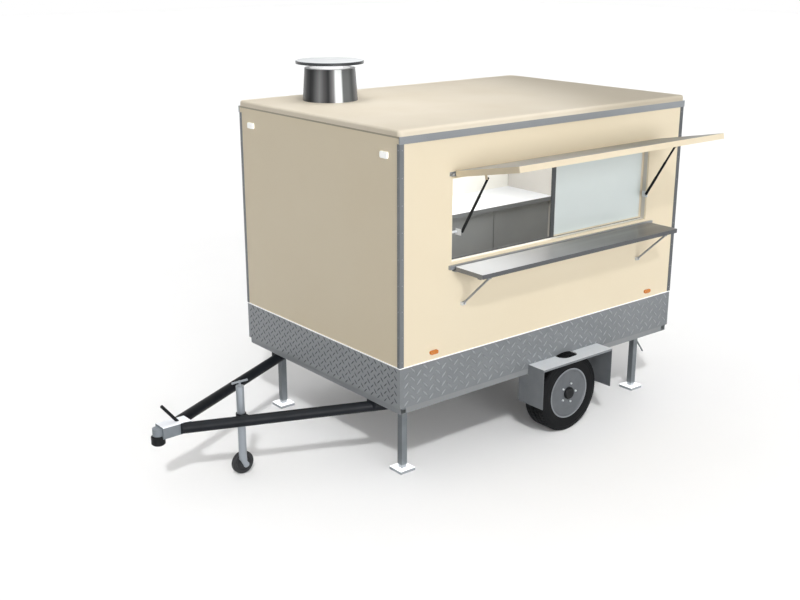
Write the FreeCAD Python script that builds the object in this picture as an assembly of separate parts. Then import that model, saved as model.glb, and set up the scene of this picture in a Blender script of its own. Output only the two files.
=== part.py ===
# Single-axle kitchen trailer with a serving hatch, built node by node in millimetres.
# The frame: origin at the centre of the tow ball socket, +X to the rear, +Z up,
# and the serving side faces -Y.
import FreeCAD
import Part
import math
import os
from FreeCAD import Vector

# Overall sizes
body_length = 2980.0
body_width = 2000.0
wall_height = 1925.0
wall_thick = 50.0
floor_thick = 50.0
roof_thick = 44.0
roof_lip = 5.0
roof_edge_round = 20.0
roof_corner_round = 30.0
# Places of the body over the tow ball
ball_height = 412.0
ball_to_front = 1376.0
ball_to_underside = 188.0
# Gaps and fits
seat_gap = 0.3
move_gap = 6.0
pin_fit = 0.05
skin = 3.0
# Tread-plate skirt and metal trims
skirt_height = 298.0
bead_height = 7.0
bead_proud = 4.0
trim_side_width = 33.0
trim_end_width = 24.0
trim_thick = 4.0
eave_height = 50.0
eave_thick = 8.0
# Chassis
rail_size = 50.0
rail_wall = 4.0
rail_inset = 12.0
side_rail_inset = 8.0
main_rail_inset = 200.0
cross_member_count = 7
cross_member_width = 40.0
# Road wheels, in the size of a 195/65 R15 tyre
wheel_place_share = 0.5625
tyre_radius = 317.0
tyre_width = 195.0
rim_radius = 207.0
rim_face_proud = 78.0
rim_wall = 5.0
rim_lip = 12.0
rim_drop = 40.0
rim_disc_recess = 6.0
# (share of the half width, share of the drop) across the rim from the outer bead to the inner one
rim_shares = ((0.88, 0.3), (0.5, 0.3), (0.25, 1), (-0.35, 1), (-0.88, 0.3))
lug_circle_radius = 80.0
lug_count = 5
lug_radius = 8.0
lug_length = 10.0
hub_radius = 98.0
hub_cap_radius = 50.0
hub_cap_length = 22.0
hub_cap_round = 8.0
stub_radius = 17.0
wheel_well_gap = 9.0
# (share of the half width, share of the sidewall height) from the flange to the crown
tyre_bead_share = 0.7
tyre_wall_shares = ((0.93, 0.05), (1, 0.42), (0.86, 1))
tyre_lining_share = (0.78, 0.86)
# Axle
axle_tube = 70.0
axle_tube_wall = 6.0
axle_lead = 130.0
axle_rise = 85.0
arm_thick = 26.0
arm_width = 64.0
axle_bracket_length = 110.0
axle_bracket_thick = 8.0
axle_bracket_share = 0.6
arm_boss_share = 1.1
# Mudguards
guard_reach = 168.0
guard_top_rise = 30.0
guard_drop = 327.0
guard_half_length = 394.0
guard_inner_reach = 97.0
guard_slot_half_length = 96.0
guard_slot_round = 60.0
# Drawbar
tube_radius = 40.0
tube_wall = 5.0
tube_front_z = -130.0
tube_rear_z = -95.0
drawbar_front_y = 88.0
drawbar_rear_inset = 55.0
drawbar_rear_x = 258.0
drawbar_front_x = 236.0
drawbar_tip_x = 150.0
saddle_length = 60.0
# Coupling head and its ball socket
coupler_width = 116.0
coupler_height = 88.0
coupler_top = 98.0
coupler_front_x = 14.0
coupler_round = 14.0
nose_radius = 38.0
cup_radius = 50.0
cup_height = 70.0
cup_round = 9.0
cup_roof = 3.0
cup_top = 30.0
ball_radius = 25.2
handle_radius = 12.0
handle_reach = 112.0
handle_rise = 140.0
handle_foot_x = 153.0
# Jockey wheel
jockey_x = 588.0
jockey_offset = 103.5
jockey_tube_radius = 29.0
jockey_tube_wall = 4.0
jockey_top = 298.0
jockey_bottom = -270.0
jockey_wheel_radius = 86.0
jockey_wheel_width = 38.0
jockey_axle_radius = 8.0
axle_collar_radius = 14.0
# (share of the half width, share of the radius) from hub to tread
jockey_wheel_shares = ((1, 0.28), (0.55, 0.34), (0.55, 0.62), (1, 0.7), (1, 0.92), (0.7, 1))
jockey_wheel_gap = 6.0
jockey_trail = 26.0
fork_plate = 8.0
fork_width = 46.0
crank_length = 130.0
crank_radius = 8.0
crank_rise = 35.0
clamp_height = 48.0
clamp_wall = 9.0
stem_insertion = 420.0
# Corner steadies
steady_end_inset = 186.0
steady_tube = 50.0
steady_tube_wall = 3.0
steady_neck = 26.0
steady_inner = 43.4
steady_inner_wall = 3.0
pad_size = 136.0
pad_thick = 22.0
foot_insertion = 220.0
wind_handle_radius = 7.0
wind_handle_drop = 96.0
wind_handle_run = 112.0
wind_handle_fall = 144.0
# Serving hatch
hatch_front = 470.0
hatch_rear_inset = 390.0
hatch_sill = 990.0
hatch_head = 1590.0
sill_thick = 4.0
sill_lip = 1.0
flap_front = 458.0
flap_rear_inset = 340.0
flap_depth = 645.0
flap_thick = 42.0
flap_skin = 4.0
flap_frame_width = 34.0
flap_rib_width = 26.0
flap_rib_shares = (1 / 3, 2 / 3)
flap_axis_out = 22.0
flap_axis_up = 1622.0
flap_open_angle = 101.0
hinge_pin_radius = 5.0
hinge_barrel_radius = 10.0
hinge_knuckles = 7
shelf_knuckles = 5
hinge_leaf = 3.0
hinge_leaf_height = 26.0
hinge_front = 441.0
hinge_rear_inset = 321.0
# Gas stays of the flap
stay_front_inset = 70.0
stay_rear_inset = 45.0
stay_foot_out = 24.0
stay_foot_up = 1206.0
stay_eye_reach = 250.0
stay_eye_drop = 28.0
stay_tube_radius = 11.0
stay_mid_radius = 9.8
stay_rod_radius = 8.2
stay_tube_length = 184.0
stay_eye_radius = 7.0
stay_eye_thick = 10.0
stay_pin_radius = 3.5
stay_root_share = 0.7
stay_bore_share = 1.3
stay_room_share = 1.5
stay_plate = 4.0
stay_plate_height = 46.0
stay_arm_share = 0.3
# Serving shelf
shelf_front = 475.0
shelf_rear_inset = 375.0
shelf_depth = 282.0
shelf_gap = 35.0
shelf_top = 968.0
shelf_thick = 32.0
shelf_sheet = 2.0
rail_strip_height = 28.0
rail_strip_depth = 22.0
brace_inset = 100.0
brace_reach = 262.0
brace_foot_up = 674.0
brace_foot_out = 14.0
brace_radius = 8.0
brace_ring_share = 1.45
shelf_hinge_share = 0.7
shelf_pin_share = 0.6
shelf_rib_share = 0.6
shelf_rib_shares = (1 / 4, 1 / 2, 3 / 4)
# Sliding window
pane_thick = 5.0
pane_gap = 6.0
stile_width = 36.0
stile_thick = 12.0
track_height = 24.0
track_depth = 46.0
# Counter inside
counter_depth = 600.0
counter_height = 915.0
counter_end_gap = 50.0
worktop_thick = 38.0
worktop_overhang = 48.0
cabinet_sheet = 18.0
cabinet_plinth = 60.0
cabinet_doors = 4
cabinet_door_gap = 8.0
# Rear door
door_centre_y = -100.0
door_width = 700.0
door_header = 95.0
door_barrel = 9.0
door_pin = 5.0
door_knuckle = 30.0
door_hinge_count = 3
door_hinge_wing = 46.0
door_hinge_sheet = 4.0
lever_length = 130.0
lever_radius = 8.0
lever_stand = 40.0
lever_height_share = 0.52
lever_plate_height = 190.0
lever_plate_width = 40.0
lever_plate_thick = 8.0
# Roof vent
vent_x = 570.0
vent_side_inset = 430.0
vent_base_radius = 217.0
vent_top_radius = 199.0
vent_height = 250.0
vent_neck_radius = 100.0
vent_cap_radius = 268.0
vent_cap_top = 306.0
vent_cap_rim = 22.0
vent_sheet = 3.0
# Lamps
lamp_side_inset = 162.0
lamp_up = 1787.0
lamp_width = 80.0
lamp_height = 44.0
lamp_depth = 12.0
marker_inset = 308.0
marker_up = 360.0
marker_width = 74.0
marker_height = 30.0
marker_depth = 14.0
marker_round = 13.0
rear_lamp_inset = 170.0
rear_lamp_up = 150.0
rear_lamp_width = 180.0
rear_lamp_height = 90.0
rear_lamp_depth = 26.0
lamp_round = 9.0

# Places worked out from the sizes
x_front = ball_to_front
x_rear = x_front + body_length
y_wall = body_width / 2
z_low = ball_to_underside
z_ground = -ball_height
z_floor = z_low + floor_thick
z_eave = z_low + wall_height
z_roof = z_eave + roof_thick
z_skirt = z_low + skirt_height
z_trim = z_eave - eave_height
z_rail = z_low - rail_size
wheel_x = x_front + body_length * wheel_place_share
wheel_z = z_ground + tyre_radius
rim_outer_y = y_wall + rim_face_proud
tyre_centre_y = rim_outer_y - tyre_width / 2 + rim_disc_recess
main_rail_y = y_wall - main_rail_inset
main_inner = main_rail_y - rail_size / 2
main_outer = main_rail_y + rail_size / 2
hatch_x0 = x_front + hatch_front
hatch_x1 = x_rear - hatch_rear_inset
hatch_z0 = z_low + hatch_sill
hatch_z1 = z_low + hatch_head
flap_axis_y = -y_wall - flap_axis_out
flap_axis_z = z_low + flap_axis_up
X = Vector(1, 0, 0)
Y = Vector(0, 1, 0)
Z = Vector(0, 0, 1)
ORIGIN = Vector(0, 0, 0)


def block(x0, x1, y0, y1, z0, z1):
    return Part.makeBox(x1 - x0, y1 - y0, z1 - z0, Vector(x0, y0, z0))


def rod(start, end, radius):
    along = end.sub(start)
    return Part.makeCylinder(radius, along.Length, start, along)


def tube(start, end, radius, wall):
    return rod(start, end, radius).cut(rod(start, end, radius - wall))


def face_of(points):
    return Part.Face(Part.makePolygon(points + points[:1]))


def plate_x(outline, x0, x1):
    face = face_of([Vector(x0, y, z) for y, z in outline])
    return face.extrude(Vector(x1 - x0, 0, 0))


def plate_y(outline, y0, y1):
    face = face_of([Vector(x, y0, z) for x, z in outline])
    return face.extrude(Vector(0, y1 - y0, 0))


def turned(profile, base, axis, angle):
    shape = profile.copy()
    shape.rotate(base, axis, angle)
    return shape


def across(shape):
    return shape.mirror(ORIGIN, Y)


def pair(shape):
    return [shape, across(shape)]


def fused(shapes):
    whole = shapes[0]
    for extra in shapes[1:]:
        whole = whole.fuse(extra)
    return whole.removeSplitter()


def ends_along(shape, axis, radius):
    edges = []
    for edge in shape.Edges:
        if edge.Curve.TypeId != "Part::GeomLine":
            continue
        run = edge.Curve.Direction
        if run.cross(axis).Length < pin_fit:
            edges.append(edge)
    return shape.makeFillet(radius, edges)


def spun(outline, base, axis):
    # outline holds (distance along the axis, radius) pairs
    side = X if axis.isEqual(Z, seat_gap) else Z
    way = Vector(axis).normalize()
    points = []
    for along, radius in outline:
        points.append(base.add(way * along).add(side * radius))
    return face_of(points).revolve(base, axis, 360)


def save(name, shapes):
    solids = []
    for shape in shapes:
        solids.extend(shape.Solids)
    whole = solids[0] if len(solids) == 1 else Part.makeCompound(solids)
    whole.exportStep("parts/" + name + ".step")


os.makedirs("parts", exist_ok=True)


# Chassis: channel rails round the edge, two main rails and cross members between them
def channel(x0, x1, y0, y1, open_side):
    bar = block(x0, x1, y0, y1, z_rail, z_low)
    low = z_rail + rail_wall
    high = z_low - rail_wall
    if open_side == "+y":
        return bar.cut(block(x0, x1, y0 + rail_wall, y1, low, high))
    if open_side == "-y":
        return bar.cut(block(x0, x1, y0, y1 - rail_wall, low, high))
    if open_side == "+x":
        return bar.cut(block(x0 + rail_wall, x1, y0, y1, low, high))
    return bar.cut(block(x0, x1 - rail_wall, y0, y1, low, high))


frame_x0 = x_front + rail_inset
frame_x1 = x_rear - rail_inset
side_rail_y = y_wall - side_rail_inset
well_radius = tyre_radius + wheel_well_gap
well_inner = tyre_centre_y - tyre_width / 2 - wheel_well_gap
well_start = Vector(wheel_x, -y_wall - guard_reach, wheel_z)
well = rod(well_start, Vector(wheel_x, -well_inner, wheel_z), well_radius)
side_rail = channel(frame_x0 + rail_size, frame_x1 - rail_size, -side_rail_y, rail_size - side_rail_y, "+y")
side_rail = side_rail.cut(well)
save("end_rails", [channel(frame_x0, frame_x0 + rail_size, -side_rail_y, side_rail_y, "+x"),
                   channel(frame_x1 - rail_size, frame_x1, -side_rail_y, side_rail_y, "-x")])
main_rail = channel(frame_x0 + rail_size, frame_x1 - rail_size, -main_outer, -main_inner, "+y")
save("long_rails", pair(side_rail) + pair(main_rail))
bay = (frame_x1 - frame_x0 - rail_size) / (cross_member_count + 1)
members = []
outriggers = []
for index in range(cross_member_count):
    middle = frame_x0 + rail_size / 2 + bay * (index + 1)
    x0 = middle - cross_member_width / 2
    x1 = middle + cross_member_width / 2
    members.append(channel(x0, x1, -main_inner, main_inner, "+x"))
    stub = channel(x0, x1, rail_size - side_rail_y, -main_outer, "+x")
    if abs(middle - wheel_x) > well_radius + cross_member_width:
        outriggers.extend(pair(stub))
save("cross_members", members + outriggers)

# Drawbar: two round tubes run back from the sides of the coupling head to the main rails
front_x = drawbar_front_x
head_top = coupler_top
head_low = head_top - coupler_height
head_solid = block(coupler_front_x, front_x, -coupler_width / 2, coupler_width / 2, head_low, head_top)
head_solid = ends_along(head_solid, X, coupler_round / 2)
tube_start = Vector(front_x, -drawbar_front_y, tube_front_z + z_low)
tube_end = Vector(x_front + drawbar_rear_x, drawbar_rear_inset - main_rail_y, tube_rear_z + z_low)
run = tube_end.sub(tube_start).normalize()
longer = rod(tube_start.sub(run * tube_radius * 4), tube_end, tube_radius)
# beside the head the tubes are solid
drawbar = longer.cut(rod(tube_start, tube_end, tube_radius - tube_wall))
drawbar = drawbar.cut(block(-ball_to_front, drawbar_tip_x, -y_wall, y_wall, -y_wall, y_wall))
drawbar = drawbar.cut(head_solid)


def tube_axis_at(x):
    share = (x - tube_start.x) / (tube_end.x - tube_start.x)
    return tube_start.add(tube_end.sub(tube_start) * share)


saddles = []
saddle_places = ((frame_x0 + rail_size / 2, rail_size),
                 (x_front + drawbar_rear_x - saddle_length, saddle_length))
for x_at, width in saddle_places:
    centre = tube_axis_at(x_at)
    lump = block(x_at - width / 2, x_at + width / 2, centre.y - tube_radius, centre.y + tube_radius,
                 centre.z, z_rail)
    lump = lump.cut(rod(tube_start.sub(run * tube_radius), tube_end.add(run * tube_radius), tube_radius))
    saddles.append(lump)
save("drawbar_tubes", pair(fused([drawbar] + saddles)))

# Coupling head with the ball cup, the coupling handle and its lever pin
hollow_head = block(coupler_front_x + rail_wall * 2, front_x, rail_wall - coupler_width / 2,
                    coupler_width / 2 - rail_wall, head_low - rail_wall, head_top - rail_wall)
head = head_solid.cut(hollow_head)
nose = rod(Vector(0, 0, cup_top), Vector(0, 0, head_top - coupler_round), nose_radius)
nose_bridge = block(0, coupler_front_x + rail_wall * 2, -nose_radius, nose_radius, cup_top,
                    head_top - coupler_round)
head = fused([head, nose, nose_bridge])
save("coupling_head", [head])
cup_low = cup_top - cup_height
cup = rod(Vector(0, 0, cup_low), Vector(0, 0, cup_top), cup_radius)
cup_rims = [edge for edge in cup.Edges if edge.Curve.TypeId == "Part::GeomCircle"]
cup = cup.makeChamfer(cup_round, cup_rims[:2])
mouth = spun([(cup_low, 0), (cup_low, ball_radius), (0, ball_radius), (cup_top - cup_roof, 0)], ORIGIN, Z)
cup = cup.cut(mouth).cut(fused([head]))
handle_foot = Vector(handle_foot_x, 0, head_top)
handle_tip = Vector(handle_foot_x - handle_reach, 0, head_top + handle_rise)
handle_way = handle_tip.sub(handle_foot).normalize()
lever = rod(handle_foot.sub(handle_way * handle_radius), handle_tip, handle_radius)
lever = lever.cut(block(0, front_x, -coupler_width, coupler_width, 0, head_top))
save("coupling_fittings", [cup, lever])

# Jockey wheel: outer tube and crank in a clamp, a fork that swivels and a wheel that spins
near_tube = tube_axis_at(jockey_x)
jockey_y = near_tube.y + jockey_offset
jockey_lid_z = jockey_top + jockey_tube_wall


def jockey_at(z, x_shift=0):
    return Vector(jockey_x + x_shift, jockey_y, z)


post = tube(jockey_at(jockey_bottom), jockey_at(jockey_top), jockey_tube_radius, jockey_tube_wall)
lid = rod(jockey_at(jockey_top), jockey_at(jockey_lid_z), jockey_tube_radius)
crank_z = jockey_top + crank_rise
crank_post = rod(jockey_at(jockey_lid_z), jockey_at(crank_z + crank_radius), crank_radius)
crank_bar = rod(jockey_at(crank_z, -crank_length / 2), jockey_at(crank_z, crank_length / 2), crank_radius)
save("jockey_tube", [fused([post, lid, crank_post, crank_bar])])
stem_radius = jockey_tube_radius - jockey_tube_wall - pin_fit
axle_z = z_ground + jockey_wheel_radius
crown_top = jockey_bottom - seat_gap
crown_low = crown_top - fork_plate
half_fork = fork_width / 2
jockey_wheel_y = jockey_y + jockey_tube_radius + jockey_wheel_gap + jockey_wheel_width / 2
stem = rod(jockey_at(crown_low), jockey_at(crown_low + stem_insertion), stem_radius)
crown = block(jockey_x - half_fork, jockey_x + half_fork, jockey_y - half_fork, jockey_y + half_fork,
              crown_low, crown_top)
cheek_y0 = jockey_y - fork_plate / 2
cheek_y1 = jockey_y + fork_plate / 2
roller_x = jockey_x + jockey_trail
cheek = plate_y([(jockey_x - half_fork, crown_low), (roller_x - half_fork, axle_z),
                 (roller_x + half_fork, axle_z), (jockey_x + half_fork, crown_low)], cheek_y0, cheek_y1)
cheek_end = rod(Vector(roller_x, cheek_y0, axle_z), Vector(roller_x, cheek_y1, axle_z), half_fork)
axle_end = jockey_wheel_y + jockey_wheel_width / 2 + fork_plate
jockey_axle = rod(Vector(roller_x, jockey_y - fork_plate, axle_z), Vector(roller_x, axle_end, axle_z),
                  jockey_axle_radius)
collar_end = jockey_wheel_y - jockey_wheel_width / 2 - seat_gap
axle_collar = rod(Vector(roller_x, jockey_y, axle_z), Vector(roller_x, collar_end, axle_z),
                  axle_collar_radius)
save("jockey_fork", [fused([stem, crown, cheek, cheek_end, jockey_axle, axle_collar])])
half_outline = []
for width_share, radius_share in jockey_wheel_shares:
    half_outline.append((jockey_wheel_width / 2 * width_share, jockey_wheel_radius * radius_share))
bore_radius = jockey_axle_radius + pin_fit
outline = [(-jockey_wheel_width / 2, bore_radius)]
outline.extend([(-along, radius) for along, radius in half_outline])
outline.extend(reversed(half_outline))
outline.append((jockey_wheel_width / 2, bore_radius))
save("jockey_wheel", [spun(outline, Vector(roller_x, jockey_wheel_y, axle_z), Y)])
clamp_low = near_tube.z - clamp_height / 2
clamp_high = near_tube.z + clamp_height / 2
clamp_ring = rod(jockey_at(clamp_low), jockey_at(clamp_high), jockey_tube_radius + clamp_wall)
clamp_arm = block(jockey_x - clamp_height / 2, jockey_x + clamp_height / 2, near_tube.y, jockey_y,
                  clamp_low, clamp_high)
clamp = clamp_ring.fuse(clamp_arm)
clamp = clamp.cut(rod(jockey_at(clamp_low - rail_size), jockey_at(clamp_high + rail_size),
                      jockey_tube_radius + pin_fit))
clamp = clamp.cut(rod(tube_start.sub(run * tube_radius * 2), tube_end, tube_radius))
solids = sorted(clamp.Solids, key=lambda solid: -solid.Volume)
save("jockey_clamp", solids[:1])

# Corner steadies: a square outer tube under each end of the main rails, foot and pad inside it
steady_low = z_ground + pad_thick + steady_neck
legs = []
feet = {}
for end, x_at in (("front", x_front + steady_end_inset), ("rear", x_rear - steady_end_inset)):
    for side, y_at in (("left", -main_rail_y), ("right", main_rail_y)):
        h = steady_tube / 2
        bore = h - steady_tube_wall
        leg = block(x_at - h, x_at + h, y_at - h, y_at + h, steady_low, z_rail)
        leg = leg.cut(block(x_at - bore, x_at + bore, y_at - bore, y_at + bore, steady_low,
                            z_rail - steady_tube_wall))
        legs.append(leg)
        g = steady_inner / 2
        pad_top = z_ground + pad_thick
        inner = block(x_at - g, x_at + g, y_at - g, y_at + g, pad_top, steady_low + foot_insertion)
        core = g - steady_inner_wall
        inner = inner.cut(block(x_at - core, x_at + core, y_at - core, y_at + core, pad_top,
                                steady_low + foot_insertion))
        p = pad_size / 2
        pad = block(x_at - p, x_at + p, y_at - p, y_at + p, z_ground, pad_top)
        feet["foot_" + end + "_" + side] = inner.fuse(pad).removeSplitter()
for index in (2, 3):
    side = -1 if index == 2 else 1
    handle_x = x_rear - steady_end_inset + (steady_tube - steady_tube_wall) / 2
    handle_start = Vector(handle_x, side * main_rail_y, z_rail - wind_handle_drop)
    handle_end = handle_start.add(Vector(wind_handle_run, 0, -wind_handle_fall))
    legs[index] = legs[index].fuse(rod(handle_start, handle_end, wind_handle_radius))
save("steady_legs", legs)
for name, foot in feet.items():
    save(name, [foot])

# Axle: a square tube with trailing arms and stub axles, held by brackets under the main rails
axle_x = wheel_x - axle_lead
axle_z_mid = wheel_z + axle_rise
a = axle_tube / 2
arm_inner = tyre_centre_y - tyre_width / 2 - arm_thick - move_gap * 2
beam = block(axle_x - a, axle_x + a, -arm_inner, arm_inner, axle_z_mid - a, axle_z_mid + a)
b = a - axle_tube_wall
beam = beam.cut(block(axle_x - b, axle_x + b, -arm_inner, arm_inner, axle_z_mid - b, axle_z_mid + b))
arms = []
slope = Vector(wheel_x - axle_x, 0, wheel_z - axle_z_mid)
for side in (-1, 1):
    y0 = side * arm_inner
    y1 = side * (arm_inner + arm_thick)
    big = rod(Vector(axle_x, y0, axle_z_mid), Vector(axle_x, y1, axle_z_mid), a * arm_boss_share)
    small = rod(Vector(wheel_x, y0, wheel_z), Vector(wheel_x, y1, wheel_z), arm_width / 2)
    unit = Vector(slope.x, 0, slope.z).normalize()
    normal = Vector(-unit.z, 0, unit.x)
    outline = []
    for centre, r, sign in (((axle_x, axle_z_mid), a, 1), ((wheel_x, wheel_z), arm_width / 2, 1),
                            ((wheel_x, wheel_z), arm_width / 2, -1), ((axle_x, axle_z_mid), a, -1)):
        outline.append((centre[0] + normal.x * r * sign, centre[1] + normal.z * r * sign))
    web = plate_y(outline, y0, y1)
    stub_end = side * (rim_outer_y - rim_disc_recess * 2)
    stub = rod(Vector(wheel_x, y1, wheel_z), Vector(wheel_x, stub_end, wheel_z), stub_radius)
    arms.append(fused([big, small, web, stub]))
save("swing_arms", arms)
brackets = []
for side in (-1, 1):
    y_at = side * main_rail_y
    for offset in (-1, 1):
        y0 = y_at + offset * a * axle_bracket_share - axle_bracket_thick / 2
        half = axle_bracket_length / 2
        outline = [(axle_x - half, z_rail), (axle_x + half, z_rail),
                   (axle_x + a, axle_z_mid + a), (axle_x - a, axle_z_mid + a)]
        brackets.append(plate_y(outline, y0, y0 + axle_bracket_thick))
save("axle_beam", [fused([beam] + brackets)])


# Road wheels: hub with its cap, dished steel rim with a lug circle, tyre with bead seats
def lug_places():
    places = []
    for index in range(lug_count):
        angle = 2 * math.pi * index / lug_count
        places.append(Vector(math.cos(angle), 0, math.sin(angle)) * lug_circle_radius)
    return places


def road_wheel(side, name):
    centre = Vector(wheel_x, side * tyre_centre_y, wheel_z)
    out = Vector(0, side, 0)
    half_width = tyre_width / 2
    seat = half_width - rim_disc_recess
    disc = seat - rim_disc_recess
    outside = []
    for along_share, drop in rim_shares:
        outside.append((seat * along_share, rim_radius - rim_drop * drop))
    inside = [(along, radius - rim_wall) for along, radius in outside]
    outline = [(disc, stub_radius * 2), (disc, rim_radius - rim_lip * 2), (seat, rim_radius - rim_lip)]
    outline = outline + [(seat, rim_radius)] + outside + [(-seat, rim_radius), (-seat, rim_radius - rim_lip)]
    outline = outline + list(reversed(inside))
    outline = outline + [(disc - rim_wall, rim_radius - rim_lip * 2), (disc - rim_wall, stub_radius * 2)]
    rim = spun(outline, centre, out)
    bead_radius = rim_radius - rim_drop * rim_shares[0][1] + seat_gap
    wall = [(half_width * tyre_bead_share, bead_radius)]
    for along_share, radius_share in tyre_wall_shares:
        wall.append((half_width * along_share, rim_radius + (tyre_radius - rim_radius) * radius_share))
    mirrored = [(-along, radius) for along, radius in reversed(wall)]
    lining_along = half_width * tyre_lining_share[0]
    lining_radius = rim_radius + (tyre_radius - rim_radius) * tyre_lining_share[1]
    lining = [(-lining_along, lining_radius), (lining_along, lining_radius)]
    tyre = spun(wall + mirrored + lining, centre, out)
    save("tyre_" + name, [tyre])
    face = centre.add(out * disc)
    bore_radius = stub_radius + pin_fit
    cap_end = disc + hub_cap_length
    bore_end = disc + hub_cap_length / 2
    outline = [(-half_width / 2, bore_radius), (-half_width / 2, hub_radius), (disc - rim_wall, hub_radius),
               (disc - rim_wall, stub_radius * 2), (disc, stub_radius * 2), (disc, hub_cap_radius),
               (cap_end - hub_cap_round, hub_cap_radius), (cap_end, hub_cap_radius - hub_cap_round),
               (cap_end, 0), (bore_end, 0), (bore_end, bore_radius)]
    hub = spun(outline, centre, out)
    nuts = []
    for spoke in lug_places():
        corners = []
        for index in range(6):
            angle = math.pi * index / 3
            corners.append(face.add(spoke).add(Vector(math.cos(angle), 0, math.sin(angle)) * lug_radius))
        nuts.append(face_of(corners).extrude(out * lug_length))
    save("hub_" + name, [hub] + nuts)
    save("rim_" + name, [rim])


road_wheel(-1, "left")
road_wheel(1, "right")

# Mudguards: front, top and rear plates, with a slot where the tyre crown stands
guard_z = z_low + guard_top_rise
guard_low = guard_z - guard_drop
guard_x0 = wheel_x - guard_half_length
guard_x1 = wheel_x + guard_half_length
guard_y = y_wall + guard_reach
skirt_face = y_wall + skin
guard_in = y_wall - guard_inner_reach
notch_z = z_rail - seat_gap * 10
ends = []
outline = [(-guard_y, guard_z - skin), (-skirt_face, guard_z - skin), (-skirt_face, notch_z),
           (-guard_in, notch_z), (-guard_in, guard_low), (-guard_y, guard_low)]
for x_at in (guard_x0, guard_x1 - skin):
    ends.extend(pair(plate_x(outline, x_at, x_at + skin)))
save("mudguard_ends", ends)
top = block(guard_x0, guard_x1, -guard_y, -skirt_face, guard_z - skin, guard_z)
slot_out = tyre_centre_y + tyre_width / 2 + move_gap
slot = block(wheel_x - guard_slot_half_length, wheel_x + guard_slot_half_length, -slot_out, 0, z_low, z_eave)
top = top.cut(ends_along(slot, Z, guard_slot_round))
lip = block(guard_x0, guard_x1, -guard_y, skin - guard_y, guard_z - rail_wall * 4, guard_z - skin)
lip = lip.cut(block(guard_x0, guard_x0 + skin, -guard_y, 0, z_ground, guard_z))
lip = lip.cut(block(guard_x1 - skin, guard_x1, -guard_y, 0, z_ground, guard_z))
save("mudguard_tops", pair(top.fuse(lip).removeSplitter()))

# Body panels: floor, walls, roof and the trims that cover their joints
inner_y = y_wall - wall_thick
floor = block(x_front + wall_thick, x_rear - wall_thick, -inner_y, inner_y, z_low, z_floor)
floor = floor.cut(well).cut(across(well))
save("floor", [floor])
front_wall = block(x_front, x_front + wall_thick, -inner_y, inner_y, z_low, z_eave)
save("front_wall", [front_wall])
left_wall = block(x_front, x_rear, -y_wall, -inner_y, z_low, z_eave)
left_wall = left_wall.cut(block(hatch_x0, hatch_x1, -y_wall, -inner_y, hatch_z0, hatch_z1))
right_wall = block(x_front, x_rear, inner_y, y_wall, z_low, z_eave).cut(across(well))
save("off_side_wall", [right_wall])
door_y0 = door_centre_y - door_width / 2
door_y1 = door_centre_y + door_width / 2
door_top = z_eave - door_header
door_height = door_top - z_floor
rear_wall = block(x_rear - wall_thick, x_rear, -inner_y, inner_y, z_low, z_eave)
rear_wall = rear_wall.cut(block(x_rear - wall_thick, x_rear, door_y0, door_y1, z_floor, door_top))
save("rear_wall", [rear_wall])
roof = block(x_front - roof_lip, x_rear + roof_lip, -y_wall - roof_lip, y_wall + roof_lip, z_eave, z_roof)
roof = ends_along(roof, Z, roof_corner_round)
top_edges = [edge for edge in roof.Edges if abs(edge.CenterOfMass.z - z_roof) < seat_gap]
roof = roof.makeFillet(roof_edge_round, top_edges)
save("roof", [roof])
sheets = []
side_sheet = block(x_front, x_rear, -y_wall - skin, -y_wall, z_low, z_skirt).cut(well)
sheets.extend(pair(side_sheet))
sheets.append(block(x_front - skin, x_front, -y_wall, y_wall, z_low, z_skirt))
rear_sheet = block(x_rear, x_rear + skin, -y_wall, y_wall, z_low, z_skirt)
door_clear = block(x_rear, x_rear + bead_proud, door_y0, door_y1 + door_hinge_wing, z_floor, z_trim)
rear_sheet = rear_sheet.cut(door_clear)
sheets.append(rear_sheet)
beads = [block(x_front, x_rear, -y_wall - bead_proud, -y_wall, z_skirt, z_skirt + bead_height)]
beads.append(across(beads[0]))
beads.append(block(x_front - bead_proud, x_front, -y_wall, y_wall, z_skirt, z_skirt + bead_height))
skirts = [fused([sheet, bead]) for sheet, bead in zip(sheets, beads)]
rear_bead = block(x_rear, x_rear + bead_proud, -y_wall, y_wall, z_skirt, z_skirt + bead_height)
skirts.append(sheets[3].fuse(rear_bead.cut(door_clear)).removeSplitter())
save("tread_skirt", skirts)
trim_low = z_skirt + bead_height
corners = []
for x_at, out in ((x_front, -1), (x_rear, 1)):
    long_leg = sorted((x_at + out * trim_thick, x_at - out * trim_side_width))
    short_leg = sorted((x_at + out * trim_thick, x_at))
    angle_iron = block(long_leg[0], long_leg[1], -y_wall - trim_thick, -y_wall, trim_low, z_trim)
    wing = block(short_leg[0], short_leg[1], -y_wall, trim_end_width - y_wall, trim_low, z_trim)
    corners.extend(pair(angle_iron.fuse(wing).removeSplitter()))
save("corner_trims", corners)
eave = block(x_front - eave_thick, x_rear + eave_thick, -y_wall - eave_thick, -y_wall, z_trim, z_eave)
save("eave_trims", pair(eave))

# Serving hatch: a framed flap drawn shut, then turned about its hinge to stand open
axis_point = Vector(0, flap_axis_y, flap_axis_z)
flap_x0 = x_front + flap_front
flap_x1 = x_rear - flap_rear_inset
flap_in = -y_wall - move_gap
flap_out = flap_in - flap_thick
flap_top = flap_axis_z - hinge_barrel_radius * 2
flap_low = flap_axis_z - flap_depth
stay_x = (hatch_x0 + stay_front_inset, hatch_x1 - stay_rear_inset)


def opened(shape):
    return turned(shape, axis_point, X, -flap_open_angle)


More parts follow.
